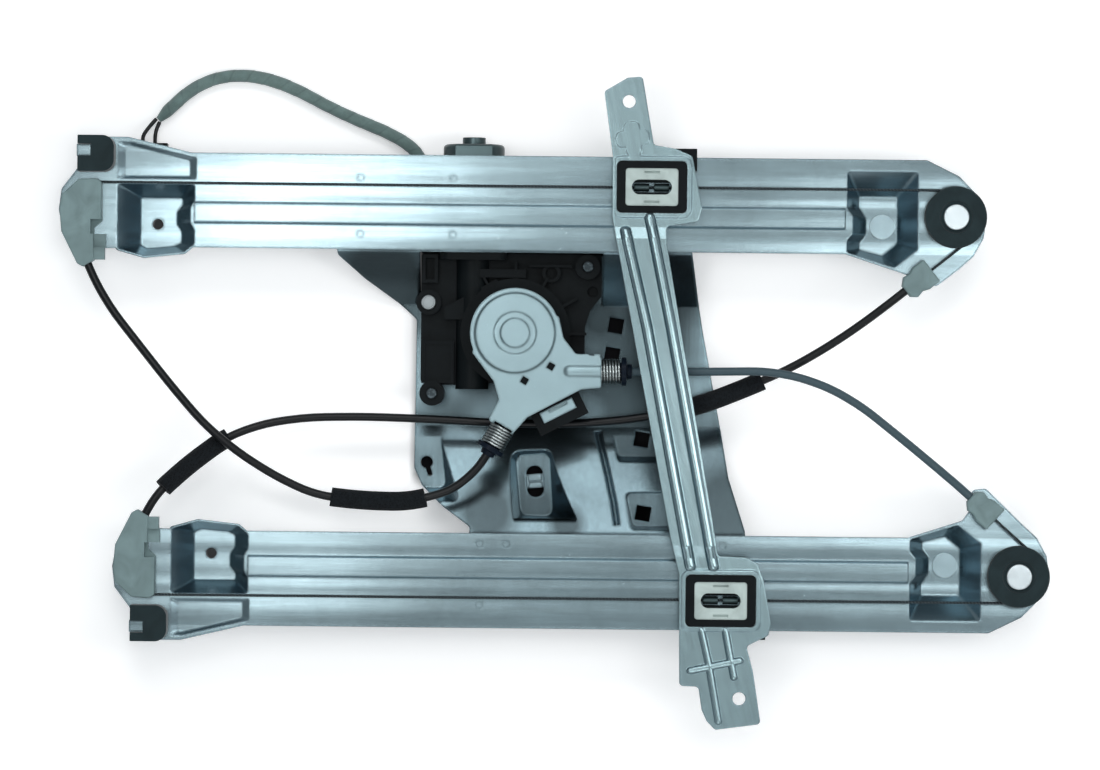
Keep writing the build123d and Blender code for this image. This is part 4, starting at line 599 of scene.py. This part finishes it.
class REGULATOR_OT_stage(bpy.types.Operator):
    """Lays the pale floor, hangs the soft lamps and sets the camera above"""
    bl_idname = "regulator.stage"
    bl_label = "Stage"

    def execute(self, context):
        self.camera(context)
        self.floor()
        self.world(context)
        for name, place, size, power in LAMPS:
            self.lamp(name, place, size, power)
        return {"FINISHED"}

    def camera(self, context):
        height = sizes().lens_distance
        lens = bpy.data.cameras.new("camera")
        lens.sensor_width = SENSOR_WIDTH
        lens.lens = SENSOR_WIDTH * height / (PHOTO_WIDTH * PHOTO_PIXEL)
        lens.clip_end = CAMERA_REACH
        eye = bpy.data.objects.new("camera", lens)
        context.scene.collection.objects.link(eye)
        eye.location = (*PHOTO_CENTRE, RAIL_LEVEL + height)
        eye.rotation_euler = (0, 0, math.radians(CAMERA_TURN))
        context.scene.camera = eye

    def floor(self):
        start()
        level = CAD_BOX[0][2] - FLOOR_DROP
        bpy.ops.mesh.primitive_plane_add(size=FLOOR_SIDE, location=(0, 0, level))
        ground = bpy.context.object
        settle(ground)
        ground.name = "floor"
        made = Finish("floor_paint", Roughness=0.9, Specular_IOR_Level=0.1)
        tone = finishes().floor
        spot = made.place()
        along = made.part_of(spot, "X")
        across = made.part_of(spot, "Y")
        # Painted shadows: the floor is painted black, without glow, under the plate and under the
        # rails' two left holes
        painted_shadows = [made.band(across, *deep, PAINTED_SHADOW_EDGE) * made.band(along, *wide, PAINTED_SHADOW_EDGE)
                  for wide, deep in PLATE_PAINTED_SHADOWS]
        holes = [made.soft_spot(x, y, PAD_NEAR, PAD_FAR) * PAD_SHADOW_STRENGTH for x, y in PAD_HOLES]
        outside_painted_shadow = 1 - made.largest(*painted_shadows, *holes)
        clouds = made.noise(spot, 3, detail=2)
        base = made.blend(clouds, scaled(tone, 0.99), scaled(tone, 1.01))
        seen = made.largest(*(made.node("ShaderNodeLightPath", output=ray) for ray in (
            "Is Camera Ray", "Is Glossy Ray", "Is Transmission Ray")))
        glow = made.blend(outside_painted_shadow * seen, (0, 0, 0), scaled(tone, FLOOR_GLOW))
        made.set(Base_Color=made.blend(outside_painted_shadow, FLOOR_SHADOW_BLACK, base),
                 Emission_Color=glow, Emission_Strength=1.0)
        ground.data.materials.append(made.material)

    def world(self, context):
        sky = context.scene.world or bpy.data.worlds.new("world")
        context.scene.world = sky
        sky.use_nodes = True
        sky.node_tree.nodes.clear()
        nodes = Nodes(sky.node_tree)
        direction = nodes.node("ShaderNodeTexCoord", output="Generated")
        height = nodes.node("ShaderNodeVectorMath", {"operation": "DOT_PRODUCT"},
                            {0: direction, 1: SKY_AXIS}, "Value")
        shade = nodes.node("ShaderNodeValToRGB", {"stops": SKY}, {"Fac": height})
        light = nodes.node("ShaderNodeBackground", None, {"Color": shade})
        sky_output = sky.node_tree.nodes.new("ShaderNodeOutputWorld")
        nodes.feed(sky_output.inputs["Surface"], light)

    def lamp(self, name, place, size, power):
        light = bpy.data.lights.new(name, "AREA")
        light.shape = "RECTANGLE"
        light.size, light.size_y = size
        light.energy = power
        hung = bpy.data.objects.new(name, light)
        bpy.context.scene.collection.objects.link(hung)
        hung.location = place
        aim = Vector((place[0] * LAMP_AIM[0], place[1] * LAMP_AIM[1], 0)) - Vector(place)
        hung.rotation_euler = aim.to_track_quat("-Z", "Y").to_euler()
        hung.visible_camera = False


# Harness

def spline_points(route):
    """Points along the smooth line that the route's points control."""
    curve = bpy.data.curves.new("route", "CURVE")
    curve.dimensions = "3D"
    spline = curve.splines.new("NURBS")
    spline.points.add(len(route) - 1)
    for point, spot in zip(spline.points, route):
        point.co = (*spot, 1)
    spline.order_u = 3
    spline.use_endpoint_u = True
    spline.resolution_u = 24
    holder = bpy.data.objects.new("route", curve)
    bpy.context.scene.collection.objects.link(holder)
    line = bpy.data.meshes.new_from_object(holder)
    points = [vertex.co.copy() for vertex in line.vertices]
    bpy.data.objects.remove(holder)
    bpy.data.curves.remove(curve)
    bpy.data.meshes.remove(line)
    return points


def even_points(points, gap):
    """The same line with its points an even distance apart."""
    made = [points[0]]
    left = gap
    for first, second in zip(points, points[1:]):
        run = (second - first).length
        start_at = 0.0
        while run - start_at >= left:
            start_at += left
            made.append(first.lerp(second, start_at / run))
            left = gap
        left -= run - start_at
    if (points[-1] - made[-1]).length > gap * 0.3:
        made.append(points[-1])
    else:
        made[-1] = points[-1]
    return made


def wound_tube(name, points, radius_at, sides, step):
    """A closed tube along the points with one UV turn of tape every step."""
    mesh = bmesh.new()
    layer = mesh.loops.layers.uv.new("UVMap")
    rings = []
    along = [0.0]
    for first, second in zip(points, points[1:]):
        along.append(along[-1] + (second - first).length)
    side = Vector((0, 0, 1))
    for index, spot in enumerate(points):
        ahead = points[min(index + 1, len(points) - 1)] - points[max(index - 1, 0)]
        ahead.normalize()
        side = (side - ahead * side.dot(ahead)).normalized()
        other = ahead.cross(side)
        ring = []
        for corner in range(sides):
            turn = corner / sides
            angle = turn * math.tau
            outward = side * math.cos(angle) + other * math.sin(angle)
            ring.append(mesh.verts.new(spot + outward * radius_at(along[index], turn)))
        rings.append(ring)
    for index, (first, second) in enumerate(zip(rings, rings[1:])):
        for corner in range(sides):
            follow = (corner + 1) % sides
            face = mesh.faces.new((first[corner], second[corner], second[follow], first[follow]))
            ends = ((index, corner), (index + 1, corner),
                    (index + 1, corner + 1), (index, corner + 1))
            for loop, (place, turn) in zip(face.loops, ends):
                loop[layer].uv = (along[place] / step + turn / sides, turn / sides)
    mesh.faces.new(rings[0])
    mesh.faces.new(list(reversed(rings[-1])))
    bmesh.ops.recalc_face_normals(mesh, faces=mesh.faces)
    data = bpy.data.meshes.new(name)
    mesh.to_mesh(data)
    mesh.free()
    piece = bpy.data.objects.new(name, data)
    bpy.context.scene.collection.objects.link(piece)
    return piece


class REGULATOR_OT_harness(bpy.types.Operator):
    """Winds the cloth tape along the harness and ties it to its wires and plug"""
    bl_idname = "regulator.harness"
    bl_label = "Harness"

    def execute(self, context):
        radius = sizes().tape_radius
        step = sizes().tape_step
        points = even_points(spline_points(HARNESS_ROUTE), HARNESS_POINT_GAP)
        total = sum((second - first).length for first, second in zip(points, points[1:]))

        def radius_at(along, turn):
            """Reach of the tape at a distance along the harness and a share of a turn round it."""
            lap = TAPE_LAP * (1 - (along / step + turn) % 1.0) ** 0.6
            waves = sum(height * math.sin(along * pace + begin)
                        for height, pace, begin in HARNESS_WAVES)
            flat = 1 - 0.08 * math.cos(2 * math.tau * turn)
            height, place, reach = HARNESS_SWELLING
            swelling = height * math.exp(-((along - place) / reach) ** 2)
            taper = min(1.0, HARNESS_START[0] + along / HARNESS_START[1],
                        HARNESS_END[0] + (total - along) / HARNESS_END[1])
            return (radius * flat + waves) * taper + lap + swelling - TAPE_SINK

        piece = wound_tube("harness_tape", points, radius_at, HARNESS_SIDES, step)
        finish = tape_finish("cloth_tape_wound", finishes().tape)
        give(piece, "harness_tape", "frame", finish, 50)
        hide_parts("harness_sleeve")
        return {"FINISHED"}


# Springs

class REGULATOR_OT_springs(bpy.types.Operator):
    """Winds the two outlet springs"""
    bl_idname = "regulator.springs"
    bl_label = "Outlet springs"

    def execute(self, context):
        finish = satin_finish("spring_wire", finishes().spring, 1.0, 0.22)
        for name, angle in (("outlet_1_spring", 0.0), ("outlet_2_spring", sizes().outlet_angle)):
            coil = self.coil()
            lie = Matrix.Rotation(angle, 4, "Z") @ Matrix.Rotation(math.pi / 2, 4, "Y")
            centre = Matrix.Translation((0, 0, -sizes().spring_length / 2))
            settle(coil, Matrix.Translation(middle(name)) @ lie @ centre)
            give(coil, name + "_coil", "frame", finish, 60)
            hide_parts(name)
        return {"FINISHED"}

    def coil(self):
        wire = sizes().wire_radius
        reach = sizes().spring_radius - wire
        turns = sizes().spring_turns
        rise = (sizes().spring_length - 2 * wire) / turns
        start()
        bpy.ops.mesh.primitive_circle_add(vertices=10, radius=wire, fill_type="NGON",
                                          location=(reach, 0, wire), rotation=(math.pi / 2, 0, 0))
        coil = bpy.context.object
        settle(coil)
        screw = coil.modifiers.new("wind", "SCREW")
        screw.axis = "Z"
        screw.screw_offset = rise
        screw.iterations = turns
        screw.steps = screw.render_steps = 32
        screw.use_merge_vertices = True
        screw.merge_threshold = 0.00001
        apply_all(coil)
        bpy.ops.object.mode_set(mode="EDIT")
        bpy.ops.mesh.select_all(action="SELECT")
        bpy.ops.mesh.remove_doubles(threshold=0.00001)
        bpy.ops.mesh.select_all(action="DESELECT")
        bpy.ops.mesh.select_non_manifold(extend=False, use_boundary=True, use_multi_face=False,
                                         use_non_contiguous=False, use_verts=False)
        bpy.ops.mesh.edge_face_add()
        bpy.ops.mesh.select_all(action="SELECT")
        bpy.ops.mesh.normals_make_consistent(inside=False)
        bpy.ops.object.mode_set(mode="OBJECT")
        return coil


# Finishes of the CAD pieces

class REGULATOR_OT_steel(bpy.types.Operator):
    """Gives the sheets, pins, screws, nipples, motor can and cables their steel finishes"""
    bl_idname = "regulator.steel"
    bl_label = "Steel finishes"

    def execute(self, context):
        tone = finishes()
        dress(zinc_finish("zinc_rails", tone.zinc, crown=6.0), "upper_rail", "lower_rail")
        dress(zinc_finish("zinc_plate", tone.zinc_plate, math.radians(90),
                          painted_dark_reflections=0.85, painted_spots=PLATE_PAINTED_SPOTS), "motor_plate")
        dress(zinc_finish("zinc_bar", tone.zinc_bar, math.radians(-76), rounding=1.2),
              "carrier_bar")
        dress(zinc_finish("zinc_clip", tone.zinc), "plate_clip")
        dress(satin_finish("cover_satin", tone.cover, 0.85, 0.32, rounding=2.0),
              "drum_cover", "housing_clip")
        for name, rgb in (("upper_pulley_pin", tone.bright), ("lower_pulley_pin", tone.bright),
                          ("drum_shaft", tone.bright), ("upper_rail_stud", tone.zinc),
                          ("lower_rail_stud", tone.zinc)):
            dress(turned_finish(name + "_turned", rgb, middle(name)), name)
        dress(fastener_finish("fasteners", scaled(tone.bright, 0.42), tone.screw),
              "gear_housing_screws")
        dress(satin_finish("nipple_steel", tone.motor, 0.9, 0.4),
              "upper_cable_nipples", "lower_cable_nipples")
        dress(twisted_finish("cable_twist", tone.cable),
              "upper_rail_cable", "lower_rail_cable", "drum_cable_tails", "drum_cable_turns")
        dress(satin_finish("motor_plating", tone.motor, 0.95, 0.3), "motor_can")
        return {"FINISHED"}


class REGULATOR_OT_plastics(bpy.types.Operator):
    """Gives the mouldings, rubber, foam and conduits their finishes"""
    bl_idname = "regulator.plastics"
    bl_label = "Plastic and rubber finishes"

    def execute(self, context):
        tone = finishes()
        dress(moulded_finish("black_moulding", tone.black),
              "gear_housing", "drum_housing", "motor_connector", "harness_plug",
              "upper_slider", "lower_slider")
        dress(moulded_finish("drum_moulding", tone.drum, 0.35), "cable_drum")
        dress(moulded_finish("grey_green_moulding", tone.grey_green, 0.45, 900),
              "upper_cable_guide", "lower_cable_guide", "upper_conduit_seat", "lower_conduit_seat")
        dress(moulded_finish("light_grey_moulding", tone.light_grey, 0.4),
              "upper_slider_insert", "lower_slider_insert")
        dress(moulded_finish("blue_moulding", tone.blue, 0.3),
              "outlet_1_ferrule", "outlet_2_ferrule")
        dress(moulded_finish("black_rubber", tone.rubber, 0.55, 700, 0.25),
              "upper_pulley", "lower_pulley", "upper_bumper", "lower_bumper")
        dress(conduit_finish("conduit_black", tone.conduit),
              "conduit_2", "conduit_3", "harness_wires")
        dress(conduit_finish("conduit_blue_grey", tone.conduit_grey, 0.38), "conduit_1")
        dress(foam_finish("foam", tone.foam),
              "foam_sleeve_left", "foam_sleeve_lower", "foam_sleeve_right")
        return {"FINISHED"}


# The add-on

class REGULATOR_PT_sidebar(bpy.types.Panel):
    """Lists the steps that dress the regulator"""
    bl_idname = "REGULATOR_PT_sidebar"
    bl_label = "Window regulator"
    bl_space_type = "VIEW_3D"
    bl_region_type = "UI"
    bl_category = "Regulator"

    def draw(self, context):
        for step in OPERATORS:
            self.layout.operator(step.bl_idname)


OPERATORS = (REGULATOR_OT_stage, REGULATOR_OT_harness, REGULATOR_OT_springs,
             REGULATOR_OT_steel, REGULATOR_OT_plastics)
CLASSES = (RegulatorSizes, RegulatorFinishes, *OPERATORS, REGULATOR_PT_sidebar)


def register():
    for kind in CLASSES:
        bpy.utils.register_class(kind)
    bpy.types.Scene.regulator_sizes = PointerProperty(type=RegulatorSizes)
    bpy.types.Scene.regulator_finishes = PointerProperty(type=RegulatorFinishes)


def unregister():
    del bpy.types.Scene.regulator_finishes
    del bpy.types.Scene.regulator_sizes
    for kind in reversed(CLASSES):
        bpy.utils.unregister_class(kind)


def main():
    register()
    bpy.context.scene.view_settings.view_transform = "Standard"
    bpy.ops.regulator.stage()
    bpy.ops.regulator.harness()
    bpy.ops.regulator.springs()
    bpy.ops.regulator.steel()
    bpy.ops.regulator.plastics()


if __name__ == "__main__":
    main()
